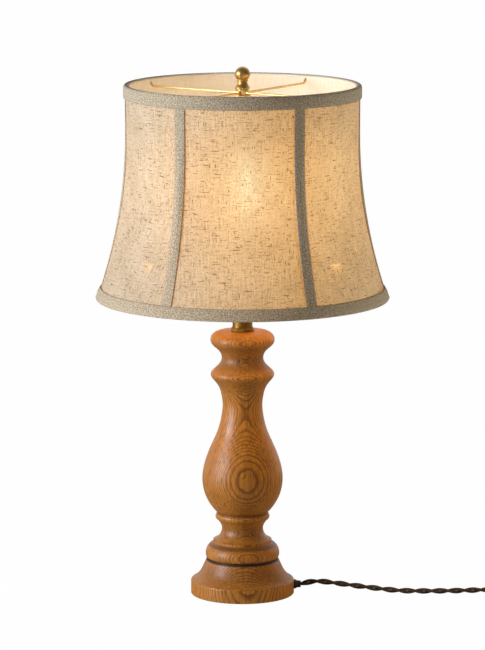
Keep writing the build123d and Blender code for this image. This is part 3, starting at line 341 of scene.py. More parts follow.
def linen_flecks(tree, cloth):
    """Dark fibres spun into the yarns, in two ways and as dots."""
    gather = product(tree, speckle(tree, cloth, (60.0, 60.0, 1.0), 2.0), 0.14)
    fleck = span(tree, speckle(tree, cloth, (430.0, 430.0, 1.0), 1.0), 0.68, 0.76)
    for cells, start, full in FLECKS:
        grains = total(tree, speckle(tree, cloth, cells, 1.0), gather)
        fleck = calc(tree, "MAXIMUM", fleck, span(tree, grains, start, full, 0.0, 0.85))
    return fleck


def bulb_core(tree, level):
    """The painted bright spot that the bulb makes on the panel before it."""
    place = axes(tree, layer_place(tree, "across"))
    across = calc(tree, "SUBTRACT", place[0], CORE_PLACE[0])
    rise = calc(tree, "SUBTRACT", level, BULB_CENTRE.z + CORE_PLACE[1])
    ovals = [product(tree, strength, bell(tree, total(
        tree, squared(tree, across, wide), squared(tree, rise, tall))))
        for strength, wide, tall in CORE_OVALS]
    return product(tree, total(tree, *ovals), place[1])


def linen():
    """Backlit natural linen: plain weave with slubs, dark flecks and a painted glow from the bulb.
    """
    material, tree = material_tree("linen")
    cloth = cloth_place(tree)
    where = object_place(tree)
    spot = axes(tree, where)
    yarns = [product(tree, speckle(tree, cloth, cells, 2.0, 0.6), share)
             for cells, share in YARNS]
    threads = total(tree, *yarns)
    fleck = linen_flecks(tree, cloth)
    cloud = speckle(tree, cloth, (28.0, 28.0, 1.0), 3.0)
    tone = total(tree, span(tree, threads, 0.38, 0.62, 0.0, 0.85),
                 span(tree, cloud, 0.35, 0.65, -0.12, 0.15))
    color = mixed(tree, tone, LINEN_DEEP, LINEN_PALE)
    color = mixed(tree, fleck, color, FLECK_COLOR)

    # Painted light: the glow is weaker to the left, to the right and near the top, and brighter at
    # the seams and the core.
    share = product(
        tree, bulb_light(tree, where), span(tree, threads, 0.38, 0.62, 0.76, 1.16),
        span(tree, cloud, 0.3, 0.7, 0.93, 1.05),
        calc(tree, "SUBTRACT", 1.0, product(tree, fleck, FLECK_SHADE)),
        span(tree, spot[0], -0.13, -0.01, 0.50, 1.0), span(tree, spot[0], 0.05, 0.14, 1.0, 0.70),
        span(tree, spot[2], SHADE_TOP - 0.090, SHADE_TOP - 0.015, 1.0, 0.80))
    core = bulb_core(tree, spot[2])
    seam = span(tree, axes(tree, layer_place(tree, "edge"))[0], SEAM_INNER, SEAM_OUTER, 1.0, 0.0)
    glow = mixed(tree, core, GLOW_COLOR, CORE_COLOR)
    glow = mixed(tree, seam, glow, SEAM_GLOW)
    glow = mixed(tree, product(tree, fleck, 0.8), glow, FLECK_GLOW)
    strength = product(tree, share, total(tree, GLOW_STRENGTH, product(tree, core, CORE_LIFT)))
    bump = total(tree, threads, product(tree, fleck, 0.5))
    finish_material(tree, principled(tree, {
        "Base Color": color, "Roughness": 0.92, "Sheen Weight": 0.15, "Sheen Roughness": 0.5,
        "Specular IOR Level": 0.2, "Emission Color": glow, "Emission Strength": strength,
        "Normal": bumped(tree, bump, 0.00025, 0.8)}))
    return material


TAPE_PALE = (0.73, 0.64, 0.475)
TAPE_DARK = (0.22, 0.170, 0.105)
TAPE_PITCH = 0.0013
TAPE_YARN_CELLS = ((1050.0, 420.0, 1.0), (420.0, 1050.0, 1.0))
TAPE_GLOW = 0.10
TAPE_GLOW_COLOR = (1.0, 0.48, 0.14, 1.0)
TAPE_GLOW_REACH = 0.23


def bias_tape():
    """Bias tape: plain weave at 45 degrees in two tones of grey-brown yarn, with a painted glow.
    """
    material, tree = material_tree("bias_tape")
    cloth = cloth_place(tree)
    turned = add(tree, "ShaderNodeMapping", None,
                 {"Vector": cloth, "Rotation": (0, 0, math.radians(45))}).outputs[0]
    split = axes(tree, turned)
    check = product(tree, *[calc(tree, "SINE", product(tree, split[axis],
                                                       2 * math.pi / TAPE_PITCH))
                            for axis in (0, 1)])
    yarn = calc(tree, "MAXIMUM", *[speckle(tree, turned, cells, 1.0)
                                   for cells in TAPE_YARN_CELLS])
    fibre = speckle(tree, cloth, (950.0, 950.0, 1.0), 2.0)
    shade = total(tree, product(tree, span(tree, yarn, 0.42, 0.68), 0.72),
                  product(tree, span(tree, check, -0.35, 0.35), 0.2),
                  span(tree, fibre, 0.3, 0.7, -0.30, 0.30))
    where = object_place(tree)
    place = axes(tree, where)
    # Painted light: the bulb's glow on the tape, stronger lower down and weaker towards the right.
    strength = product(
        tree, bulb_light(tree, where),
        span(tree, place[2], SHADE_TOP - TAPE_GLOW_REACH, SHADE_TOP, 1.35 * TAPE_GLOW,
             0.45 * TAPE_GLOW),
        span(tree, place[0], 0.01, 0.08, 1.0, 0.3))
    height = total(tree, product(tree, calc(tree, "ABSOLUTE", check), 0.6),
                   product(tree, fibre, 0.4))
    finish_material(tree, principled(tree, {
        "Base Color": mixed(tree, shade, TAPE_DARK, TAPE_PALE), "Roughness": 0.9,
        "Sheen Weight": 0.2, "Sheen Roughness": 0.5, "Specular IOR Level": 0.2,
        "Emission Color": TAPE_GLOW_COLOR, "Emission Strength": strength,
        "Normal": bumped(tree, height, 0.0002, 0.8)}))
    return material


LINING_GLOW = (0.185, 0.215)
LINING_GLOW_COLOR = (1.0, 0.72, 0.44, 1.0)
LOW_LINING = 1.25


def lining_cloth():
    """Smooth cream lining with a fine weave, its light from inside painted in as emission."""
    material, tree = material_tree("lining_cloth")
    cloth = cloth_place(tree)
    where = object_place(tree)
    weave = total(tree, speckle(tree, cloth, (1500.0, 60.0, 1.0), 1.0),
                  speckle(tree, cloth, (60.0, 1500.0, 1.0), 1.0))
    cloud = speckle(tree, where, (18.0, 18.0, 18.0), 2.0)
    color = mixed(tree, span(tree, weave, 0.7, 1.3), (0.74, 0.69, 0.60), (0.86, 0.82, 0.74))
    # Painted light: the glow is patchy and stronger towards the bottom.
    strength = product(
        tree, bulb_light(tree, where), span(tree, cloud, 0.3, 0.7, *LINING_GLOW),
        span(tree, axes(tree, where)[2], SHADE_TOP - 0.045, SHADE_TOP - 0.11, 1.0, LOW_LINING))
    finish_material(tree, principled(tree, {
        "Base Color": color, "Roughness": 0.85, "Specular IOR Level": 0.25,
        "Emission Color": LINING_GLOW_COLOR, "Emission Strength": strength,
        "Normal": bumped(tree, weave, 0.0001, 0.5)}))
    return material


def felt_cloth():
    """Dense felt with stray fibres."""
    material, tree = material_tree("felt_cloth")
    where = object_place(tree)
    fibre = speckle(tree, where, (900.0, 900.0, 900.0), 4.0, 0.7, 1.5)
    cloud = speckle(tree, where, (90.0, 90.0, 90.0), 2.0)
    color = mixed(tree, span(tree, total(tree, fibre, cloud), 0.7, 1.3),
                  (0.045, 0.058, 0.038), (0.13, 0.15, 0.10))
    finish_material(tree, principled(tree, {
        "Base Color": color, "Roughness": 0.97, "Sheen Weight": 0.5, "Sheen Roughness": 0.6,
        "Specular IOR Level": 0.1, "Normal": bumped(tree, fibre, 0.0003)}))
    return material


BRAID_TURNS = 6.0
BRAID_PITCH = 0.0026


def cord_cloth():
    """Braided cover of a lamp cord: two sets of yarns that cross round each strand."""
    material, tree = material_tree("cord_cloth")
    place = axes(tree, cloth_place(tree))
    around = product(tree, place[0], BRAID_TURNS * 2 * math.pi)
    along = product(tree, place[1], 2 * math.pi / BRAID_PITCH)
    cross = product(tree, calc(tree, "SINE", total(tree, around, along)),
                    calc(tree, "SINE", calc(tree, "SUBTRACT", around, along)))
    ridge = span(tree, calc(tree, "ABSOLUTE", cross), 0.0, 0.8)
    fibre = speckle(tree, object_place(tree), (1600.0, 1600.0, 1600.0), 2.0)
    # Partly painted shade: darker in the grooves between the braid's ridges, over the yarn's own
    # brown.
    shade = total(tree, product(tree, ridge, 0.65), product(tree, fibre, 0.5))
    color = mixed(tree, shade, (0.028, 0.015, 0.007), (0.120, 0.068, 0.034))
    finish_material(tree, principled(tree, {
        "Base Color": color, "Roughness": 0.75, "Sheen Weight": 0.1, "Sheen Roughness": 0.5,
        "Specular IOR Level": 0.12,
        "Normal": bumped(tree, total(tree, ridge, fibre), 0.00015)}))
    return material


# -------- bulb materials
FILAMENT_COLOR = (1.0, 0.70, 0.34, 1.0)
FILAMENT_STRENGTH = 9.0


def bulb_glass_material(name):
    """Clear glass that lets the lamps' light through."""
    material, tree = material_tree(name)
    where = object_place(tree)
    wave = speckle(tree, where, (60.0, 60.0, 60.0), 1.0)
    glass = principled(tree, {
        "Base Color": (1.0, 0.97, 0.93, 1.0), "Roughness": 0.03, "IOR": 1.45,
        "Transmission Weight": 1.0, "Normal": bumped(tree, wave, 0.0002, 0.3)})
    clear = add(tree, "ShaderNodeBsdfTransparent").outputs[0]
    path = add(tree, "ShaderNodeLightPath")
    through = calc(tree, "MAXIMUM", path.outputs["Is Shadow Ray"], path.outputs["Is Diffuse Ray"])
    mix = add(tree, "ShaderNodeMixShader", None, {0: through, 1: glass, 2: clear}).outputs[0]
    finish_material(tree, mix)
    return material


def filament():
    """A coated filament that gives light."""
    material, tree = material_tree("filament")
    grains = speckle(tree, object_place(tree), (700.0, 700.0, 700.0), 2.0)
    finish_material(tree, principled(tree, {
        "Base Color": mixed(tree, grains, (0.9, 0.55, 0.15), (1.0, 0.72, 0.30)),
        "Roughness": 0.7, "Emission Color": FILAMENT_COLOR,
        "Emission Strength": FILAMENT_STRENGTH}))
    return material


# -------- mesh helpers


def link(name, mesh, material):
    """An object for a mesh, shaded smoothly."""
    mesh.materials.append(material)
    mesh.polygons.foreach_set("use_smooth", [True] * len(mesh.polygons))
    made = bpy.data.objects.new(name, mesh)
    scene.collection.objects.link(made)
    return made


def grid_piece(name, rows, cloth_uv, material, wrap=False, closed=False, more_uvs=()):
    """A sheet through rows of points, all as long; wrap closes each row on itself, and closed
    puts a face on the first and the last row. cloth_uv and more_uvs give each point's place,
    one more per row where it wraps."""
    across = len(rows[0])
    mesh = bpy.data.meshes.new(name)
    faces, corners = [], []
    for row in range(len(rows) - 1):
        for col in range(across if wrap else across - 1):
            right = (col + 1) % across
            faces.append((row * across + col, (row + 1) * across + col,
                          (row + 1) * across + right, row * across + right))
            corners += [(row, col), (row + 1, col), (row + 1, col + 1), (row, col + 1)]
    if closed:
        last = (len(rows) - 1) * across
        faces += [tuple(range(across)), tuple(reversed(range(last, last + across)))]
    mesh.from_pydata([point for row in rows for point in row], [], faces)
    for layer_name, places in (("cloth", cloth_uv), *more_uvs):
        if places:
            layer = mesh.uv_layers.new(name=layer_name, do_init=False)
            for loop, (row, col) in zip(layer.data, corners):
                loop.uv = places[row][col]
    mesh.validate()
    return link(name, mesh, material)


def thicken(piece, thickness):
    """Gives a sheet its thickness, inwards from the side that its faces look to."""
    solid = piece.modifiers.new("thickness", "SOLIDIFY")
    solid.thickness = thickness
    solid.offset = -1.0


def place_piece(piece, body, slot, *replaced):
    """Puts a finished piece on its body and hides the parts that it replaces; slot is not used."""
    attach(piece, body)
    if replaced:
        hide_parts(*replaced)


# -------- shade shape
SHADE_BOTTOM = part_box("bottom_tape")[0].z
SHADE_HEIGHT = SHADE_TOP - SHADE_BOTTOM
TOP_RADIUS = 0.1321
BOTTOM_RADIUS = 0.1648
STRAIGHT_HEIGHT = 0.050
PANELS = 6
FLATNESS = 0.55
SHADE_TURN = math.radians(-1.5)
TOP_TAPE_HEIGHT = 0.0127
BOTTOM_TAPE_HEIGHT = 0.0156
CLOTH_THICKNESS = 0.0006
TAPE_THICKNESS = 0.0007
TAPE_GAP = 0.00025
RIB_TAPE_WIDTH = 0.0132
PANEL_SIDE_GAP = 0.00035
PANEL_ANGLE = 2 * math.pi / PANELS
HALF_PANEL = PANEL_ANGLE / 2


def shade_radius(depth):
    """Radius of the cloth at a rib at a depth below the top edge."""
    flare = max(depth - STRAIGHT_HEIGHT, 0) / (SHADE_HEIGHT - STRAIGHT_HEIGHT)
    return TOP_RADIUS + (BOTTOM_RADIUS - TOP_RADIUS) * flare ** 2


def panel_circle(depth):
    """Centre distance and radius of the arc through two ribs and the middle between them."""
    rib = shade_radius(depth)
    between = (depth - TOP_TAPE_HEIGHT) / (SHADE_HEIGHT - TOP_TAPE_HEIGHT - BOTTOM_TAPE_HEIGHT)
    flat = FLATNESS * math.sin(math.pi * min(max(between, 0), 1)) ** 2
    middle = rib * (1 - flat * (1 - math.cos(HALF_PANEL)))
    chord_x, chord_y = rib * math.cos(HALF_PANEL), rib * math.sin(HALF_PANEL)
    centre = (chord_x ** 2 + chord_y ** 2 - middle ** 2) / (2 * (chord_x - middle))
    return centre, middle - centre


def half_arc(depth):
    """Half the angle that the panel's arc spans about its own centre."""
    centre, _ = panel_circle(depth)
    rib = shade_radius(depth)
    return math.atan2(rib * math.sin(HALF_PANEL), rib * math.cos(HALF_PANEL) - centre)


def shade_point(depth, inset, across, turn):
    """A point on a panel: inset from its outer face, across metres from its middle line."""
    centre, radius = panel_circle(depth)
    around = across / radius
    x = centre + (radius - inset) * math.cos(around)
    y = (radius - inset) * math.sin(around)
    return Vector((x * math.cos(turn) - y * math.sin(turn),
                   x * math.sin(turn) + y * math.cos(turn), SHADE_TOP - depth))


def panel_half_width(depth):
    """Half the width of a panel's cloth along its arc."""
    return panel_circle(depth)[1] * half_arc(depth)


# -------- linen panels
PANEL_COLUMNS, PANEL_ROWS = 64, 96
PANEL_TOP_GAP = 0.0009
PANEL_RUN = SHADE_HEIGHT - 0.0021
UNEVEN = 0.00022
PUCKER = 0.00020
PUCKER_LENGTH = 0.011
PUCKER_REACH = 0.010
HELD_EDGE = 0.004
MOST_OUT = 0.0001
CLOTH_STEP = 0.37
FRONT_PANEL = 4


def linen_panel(number, material):
    """Stretched cloth between two ribs, slightly uneven and puckered along its seams."""
    turn = SHADE_TURN + (number + 0.5) * PANEL_ANGLE
    seed = Vector((number * 7.31, 0, 0))
    rows, cloth_uv, edge_uv, across_uv = [], [], [], []
    for row in range(PANEL_ROWS + 1):
        depth = PANEL_TOP_GAP + PANEL_RUN * row / PANEL_ROWS
        half = panel_half_width(depth) - PANEL_SIDE_GAP
        points, flat, edges, middle = [], [], [], []
        for col in range(PANEL_COLUMNS + 1):
            across = half * (2 * col / PANEL_COLUMNS - 1)
            to_edge = half - abs(across)
            sag = UNEVEN * (noise.noise(Vector((across * 22, depth * 14, 0)) + seed) + 0.4)
            wave = math.sin(2 * math.pi * depth / PUCKER_LENGTH
                            + 3 * noise.noise(Vector((depth * 40, across * 9, 3)) + seed))
            sag += PUCKER * math.exp(-to_edge / PUCKER_REACH) * wave
            sag *= min(to_edge / HELD_EDGE, 1)
            points.append(shade_point(depth, max(sag, -MOST_OUT), across, turn))
            flat.append((across + CLOTH_STEP * number, -depth))
            edges.append((to_edge, 0))
            middle.append((across, CORE_SHARES[(number - FRONT_PANEL) % PANELS]))
        rows.append(points)
        cloth_uv.append(flat)
        edge_uv.append(edges)
        across_uv.append(middle)
    piece = grid_piece(f"linen_panel_{number + 1}", rows, cloth_uv, material,
                       more_uvs=(("edge", edge_uv), ("across", across_uv)))
    thicken(piece, CLOTH_THICKNESS)
    place_piece(piece, "shade", "linen", f"shade_panel_{number + 1}")
    return piece


# -------- lining
LINING_GAP = 0.0039
LINING_THICKNESS = 0.0005
LINING_COLUMNS = 26
LINING_ROWS = 60
LINING_TOP, LINING_RUN = 0.0018, SHADE_HEIGHT - 0.0044
LINING_WIDTH = 0.97
RIB_LIFT, RIB_REACH = 0.0003, 0.004
# Depth below the rim and inset where the lining turns over the top ring.
LINING_TURNOVER = ((0.0007, 0.0007), (0.0003, 0.0015), (0.0003, 0.0030), (0.0008, 0.0037))


def lining_piece(material):
    """One sleeve of lining, drawn over the ribs, so that it turns a soft corner at each."""
    rows, flat = [], []
    levels = [(LINING_TOP + LINING_RUN * row / LINING_ROWS, LINING_GAP)
              for row in range(LINING_ROWS + 1)]
    for depth, inset in (*LINING_TURNOVER, *levels):
        points, places = [], []
        for number in range(PANELS):
            turn = SHADE_TURN + (number + 0.5) * PANEL_ANGLE
            half = panel_half_width(depth) * LINING_WIDTH
            for col in range(LINING_COLUMNS):
                across = half * (2 * col / LINING_COLUMNS - 1)
                near = math.exp(-(half - abs(across)) / RIB_REACH)
                points.append(shade_point(depth, inset - RIB_LIFT * near, across, turn))
                places.append((across + number * 2 * half, -depth))
        places.append((PANELS * 2 * half - half, -depth))
        rows.append(points)
        flat.append(places)
    piece = grid_piece("shade_inner_cloth", rows, flat, material, wrap=True)
    thicken(piece, LINING_THICKNESS)
    place_piece(piece, "shade", "lining", "shade_lining")
    return piece


# -------- tapes
RIM_STEPS = 288
TOP_FOLD_HEIGHT = 0.0143
BOTTOM_FOLD_HEIGHT = 0.0137
TAPE_OUT = 0.95e-3 / math.cos(HALF_PANEL / 2) + 0.0001
RIM_TAPE_THICKNESS = 0.0006
OUTER_ROWS = 6
PROUD, PROUD_REACH = 0.0003, 0.006
RIM_WANDER = 0.00012


def rim_tape(name, outline, node, material):
    """A tape folded over a rim: an outline of (out, up) from outside bottom to inside, turned
    round the shade, a little proud where it crosses a rib tape."""
    rows, flat = [], []
    run = 0.0
    for index, (radius, height) in enumerate(outline):
        if index:
            last = outline[index - 1]
            run += math.hypot(radius - last[0], height - last[1])
        points, places = [], []
        for step in range(RIM_STEPS):
            angle = 2 * math.pi * step / RIM_STEPS
            off_rib = (angle - SHADE_TURN + HALF_PANEL) % PANEL_ANGLE - HALF_PANEL
            proud = PROUD * math.exp(-(off_rib * radius / PROUD_REACH) ** 2)
            uneven = RIM_WANDER * noise.noise(Vector((9 * math.cos(angle), 9 * math.sin(angle),
                                                      index * 0.6)))
            out = radius + (proud if index < OUTER_ROWS else 0.0) + uneven
            points.append((out * math.cos(angle), out * math.sin(angle), height))
            places.append((angle * TOP_RADIUS, run))
        places.append((2 * math.pi * TOP_RADIUS, run))
        rows.append(points)
        flat.append(places)
    piece = grid_piece(name, rows, flat, material, wrap=True)
    thicken(piece, RIM_TAPE_THICKNESS)
    place_piece(piece, "shade", "taupe_tape", node)
    return piece


SEAM_COLUMNS, SEAM_ROWS = 12, 90
SEAM_TOP = 0.0012
SEAM_RUN = SHADE_HEIGHT - BOTTOM_TAPE_HEIGHT - SEAM_TOP + 0.006
SEAM_CROWN = 0.45


def rib_tape(number, material):
    """The tape that covers the seam over one rib, crowned over the wire."""
    turn = SHADE_TURN + number * PANEL_ANGLE
    rows, flat = [], []
    for row in range(SEAM_ROWS + 1):
        depth = SEAM_TOP + SEAM_RUN * row / SEAM_ROWS
        points, places = [], []
        for col in range(SEAM_COLUMNS + 1):
            across = RIB_TAPE_WIDTH * (col / SEAM_COLUMNS - 0.5)
            edge = 1 - abs(2 * col / SEAM_COLUMNS - 1)
            lift = TAPE_GAP + TAPE_THICKNESS * min(0.75 + edge, 1)
            side = 1 if across >= 0 else -1
            inwards = panel_half_width(depth) - abs(across)
            points.append(shade_point(depth, -lift, -side * inwards, turn + side * HALF_PANEL))
            places.append((across, -depth + 0.11 * number))
        middle = SEAM_COLUMNS // 2
        soft = (points[middle - 1] + points[middle + 1]) / 2
        points[middle] = points[middle] * SEAM_CROWN + soft * (1 - SEAM_CROWN)
        rows.append(points)
        flat.append(places)
    piece = grid_piece(f"seam_tape_{number + 1}", rows, flat, material)
    thicken(piece, TAPE_THICKNESS)
    place_piece(piece, "shade", "taupe_tape", "rib_tapes")
    return piece


# -------- felt
FELT_HOLE = 0.018
FELT_ROWS, FELT_STEPS = 12, 240
FELT_ROUGH = 0.00012


def felt_ring(material):
    """Felt under the base: a thick ring whose cut edges wander a little."""
    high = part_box("felt_pad")[1]
    rows = []
    for row in range(FELT_ROWS + 1):
        radius = high.x + (FELT_HOLE - high.x) * row / FELT_ROWS
        points = []
        for step in range(FELT_STEPS):
            angle = 2 * math.pi * step / FELT_STEPS
            rough = FELT_ROUGH * (noise.noise(Vector((40 * math.cos(angle), 40 * math.sin(angle),
                                                      radius * 300))) - 1)
            points.append(((radius + rough) * math.cos(angle),
                           (radius + rough) * math.sin(angle), high.z))
        rows.append(points)
    piece = grid_piece("felt_ring", rows, None, material, wrap=True)
    thicken(piece, high.z)
    place_piece(piece, "lamp", "felt", "felt_pad")
    return piece


# -------- cord
CORD_RADIUS = 0.0034
STRAND_RADIUS = 0.0017
TWIST_PITCH = 0.0380
FIRST_TWIST = math.radians(-13.7)
STRAND_GAP = 0.00004
CORD_SIDES = 12
RING_STEP = 0.0012
FLOOR_LIFT = 0.0046
EXIT = Vector((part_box("cord_bushing")[1].x, 0.0, 0.0104))
COIL_START = (0.342, -0.002, FLOOR_LIFT)
ROUTE = [tuple(EXIT), (0.074, 0, 0.0122), (0.086, -0.0004, 0.0141), (0.104, -0.0012, 0.0122),
         (0.128, -0.0022, 0.0091), (0.154, -0.0034, 0.0061), (0.180, -0.0048, 0.0034),
         (0.212, -0.0066, 0.0035), (0.247, -0.0056, 0.0036), (0.281, -0.0016, 0.0038),
         (0.313, -0.0020, FLOOR_LIFT), COIL_START]
COIL_RADIUS = 0.0504
TURN_PITCH = 0.0075
LAYER_PITCH = 0.0075
LAYER_ANGLE = 2 * math.pi * 2.75
TOTAL_ANGLE = 2 * LAYER_ANGLE + math.pi
COIL_POINTS_A_TURN = 18
PLUG_TURN = math.radians(-12.0)
TAIL_RUN = 0.018


def coil_radius(angle):
    """Steady spiral in, a half turn where it eases round, and steadily out again."""
    rate = TURN_PITCH / (2 * math.pi)
    if angle <= LAYER_ANGLE:
        return COIL_RADIUS - rate * angle
    if angle >= LAYER_ANGLE + math.pi:
        return coil_radius(TOTAL_ANGLE - angle)
    into = angle - LAYER_ANGLE
    return coil_radius(LAYER_ANGLE) - rate * (into - into ** 2 / math.pi)


def coil_points():
    """The turns of the put-away coil, from below its middle up to the plug's side."""
    lead_in = math.atan(TURN_PITCH / (2 * math.pi) / COIL_RADIUS)
    first = -math.pi / 2 - lead_in
    centre = (COIL_START[0] + 2 * CORD_RADIUS - COIL_RADIUS * math.cos(first),
              COIL_START[1] - COIL_RADIUS * math.sin(first))
    count = round(TOTAL_ANGLE / (2 * math.pi) * COIL_POINTS_A_TURN)
    points = []
    for index in range(count + 1):
        angle = TOTAL_ANGLE * index / count
        radius = coil_radius(angle)
        climb = min(max((angle - LAYER_ANGLE) / math.pi, 0), 1)
        height = FLOOR_LIFT + LAYER_PITCH * (climb - math.sin(2 * math.pi * climb)
                                             / (2 * math.pi))
        points.append((centre[0] + radius * math.cos(first + angle),
                       centre[1] + radius * math.sin(first + angle), height))
    return points


def cord_line(name, points):
    """Dense points along the smooth spline that the given points control."""
    data = bpy.data.curves.new(name, "CURVE")
    data.dimensions = "3D"
    data.resolution_u = 8
    spline = data.splines.new("NURBS")
    spline.points.add(len(points) - 1)
    for control, point in zip(spline.points, points):
        control.co = (*point, 1.0)
    spline.order_u = 3
    spline.use_endpoint_u = True
    holder = bpy.data.objects.new(name, data)
    scene.collection.objects.link(holder)
    bpy.context.view_layer.update()
    mesh = bpy.data.meshes.new_from_object(holder)
    line = [vertex.co.copy() for vertex in mesh.vertices]
    bpy.data.objects.remove(holder)
    bpy.data.meshes.remove(mesh)
    return line


def even_steps(line, step):
    """The line again with points an even step apart, and their distances along it."""
    lengths = [0.0]
    for before, after in zip(line, line[1:]):
        lengths.append(lengths[-1] + (after - before).length)
    count = max(round(lengths[-1] / step), 1)
    points, index = [], 0
    for number in range(count + 1):
        want = lengths[-1] * number / count
        while index < len(line) - 2 and lengths[index + 1] < want:
            index += 1
        part = (want - lengths[index]) / max(lengths[index + 1] - lengths[index], 1e-9)
        points.append(line[index].lerp(line[index + 1], min(max(part, 0), 1)))
    return points, lengths[-1]


def twisted_cord(name, line, start_twist, material):
    """Two braided strands laid round the line, each closed at its ends, and the points."""
    points, length = even_steps(line, RING_STEP)
    side = Vector((0, 1, 0))
    lean = math.atan(2 * math.pi * (CORD_RADIUS - STRAND_RADIUS) / TWIST_PITCH)
    rows = [[], []]
    for index, point in enumerate(points):
        way = (points[min(index + 1, len(points) - 1)] - points[max(index - 1, 0)]).normalized()
        side = (side - way * side.dot(way)).normalized()
        up = way.cross(side)
        run = length * index / (len(points) - 1)
        twist = start_twist + 2 * math.pi * run / TWIST_PITCH
        for strand in (0, 1):
            angle = twist + math.pi * strand
            out = side * math.cos(angle) + up * math.sin(angle)
            around = way.cross(out)
            heading = way * math.cos(lean) + around * math.sin(lean)
            cross = heading.cross(out)
            centre = point + out * (CORD_RADIUS - STRAND_RADIUS)
            ring = []
            for corner in range(CORD_SIDES):
                turn = 2 * math.pi * corner / CORD_SIDES
                ring.append(centre + (out * math.cos(turn) - cross * math.sin(turn))
                            * (STRAND_RADIUS - STRAND_GAP))
            rows[strand].append(ring)
    strands = []
    for strand in (0, 1):
        flat = [[(corner / CORD_SIDES, length * index / (len(points) - 1))
                 for corner in range(CORD_SIDES + 1)] for index in range(len(points))]
        strands.append(grid_piece(f"{name}_strand", rows[strand], flat, material, wrap=True,
                                  closed=True))
    return join(strands, name), points


def join(parts, name):
    """Joins pieces into one object of that name."""
    with bpy.context.temp_override(active_object=parts[0], selected_editable_objects=parts):
        bpy.ops.object.join()
    parts[0].name = name
    parts[0].data.name = name
    return parts[0]


INNER_REACH = 0.018


def inner_route():
    """Control points of the cord inside the lamp: in through the bushing and up to the socket."""
    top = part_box("inner_cord")[1].z
    return [tuple(EXIT), (INNER_REACH, 0, EXIT.z), (0, 0, EXIT.z), (0, 0, EXIT.z + INNER_REACH),
            (0, 0, top)]


# -------- coil tie
TIE_GAP = 0.0001
TIE_CORNER, TIE_CORNER_STEPS = 0.0035, 6
TIE_STEP = 0.002
TIE_ROWS = 8
TIE_PULL = 0.0002
TIE_THICKNESS = 0.0007


def tie_strap(material):
    """A strap round the coil's turns with rounded corners and edges drawn in a little."""
    low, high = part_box("cord_tie")
    middle_x, middle_z = (low.x + high.x) / 2, (low.z + high.z) / 2
    half_x, half_z = (high.x - low.x) / 2 - TIE_GAP, (high.z - low.z) / 2 - TIE_GAP
    ring = []
    for number, (sx, sz) in enumerate(((1, 1), (-1, 1), (-1, -1), (1, -1))):
        corner_x = middle_x + sx * (half_x - TIE_CORNER)
        corner_z = middle_z + sz * (half_z - TIE_CORNER)
        for step in range(TIE_CORNER_STEPS + 1):
            angle = math.pi / 2 * (number + step / TIE_CORNER_STEPS)
            ring.append((corner_x + TIE_CORNER * math.cos(angle),
                         corner_z + TIE_CORNER * math.sin(angle)))
    closed = ring + ring[:1]
    dense = []
    for (x0, z0), (x1, z1) in zip(closed, closed[1:]):
        parts = max(round(math.hypot(x1 - x0, z1 - z0) / TIE_STEP), 1)
        dense += [(x0 + (x1 - x0) * k / parts, z0 + (z1 - z0) * k / parts)
                  for k in range(parts)]
    rows, flat = [], []
    width = high.y - low.y
    for across in range(TIE_ROWS + 1):
        share = across / TIE_ROWS
        y = low.y + width * share
        pull = TIE_PULL * (2 * share - 1) ** 4
        row = []
        for x, z in dense:
            inward = Vector((middle_x - x, middle_z - z)).normalized() * pull
            row.append((x + inward.x, y, z + inward.y))
        rows.append(row)
        flat.append([(width * share, TIE_STEP * k) for k in range(len(dense) + 1)])
    piece = grid_piece("coil_strap", rows, flat, material, wrap=True)
    thicken(piece, TIE_THICKNESS)
    return piece


# -------- make the cords
braid = cord_cloth()
coil = coil_points()
tail_way = Vector(coil[-1]) - Vector(coil[-2])
tail_start = Vector(coil[-1]) + tail_way.normalized() * 2 * CORD_RADIUS
tail_bend = tail_start + tail_way.normalized() * TAIL_RUN
plug_start = tail_bend + Vector((math.cos(PLUG_TURN), math.sin(PLUG_TURN), 0)) * TAIL_RUN
free_line = cord_line("cord_line", ROUTE + coil + [tuple(tail_start), tuple(tail_bend),
                                                   tuple(plug_start)])
cord, cord_path = twisted_cord("lamp_cord", free_line, FIRST_TWIST, braid)
place_piece(cord, "lamp", "cord_cloth", "cord_lead", "cord_coil", "cord_tail")
inner_line = cord_line("inner_line", inner_route())
inside, _ = twisted_cord("lamp_cord_inside", inner_line, FIRST_TWIST + math.pi, braid)
place_piece(inside, "lamp", "cord_cloth", "inner_cord")
strap = tie_strap(moulded("strap_cloth", (0.02, 0.016, 0.013), (0.05, 0.04, 0.032), 0.7, 0.9))
place_piece(strap, "lamp", "brown_plastic", "cord_tie")

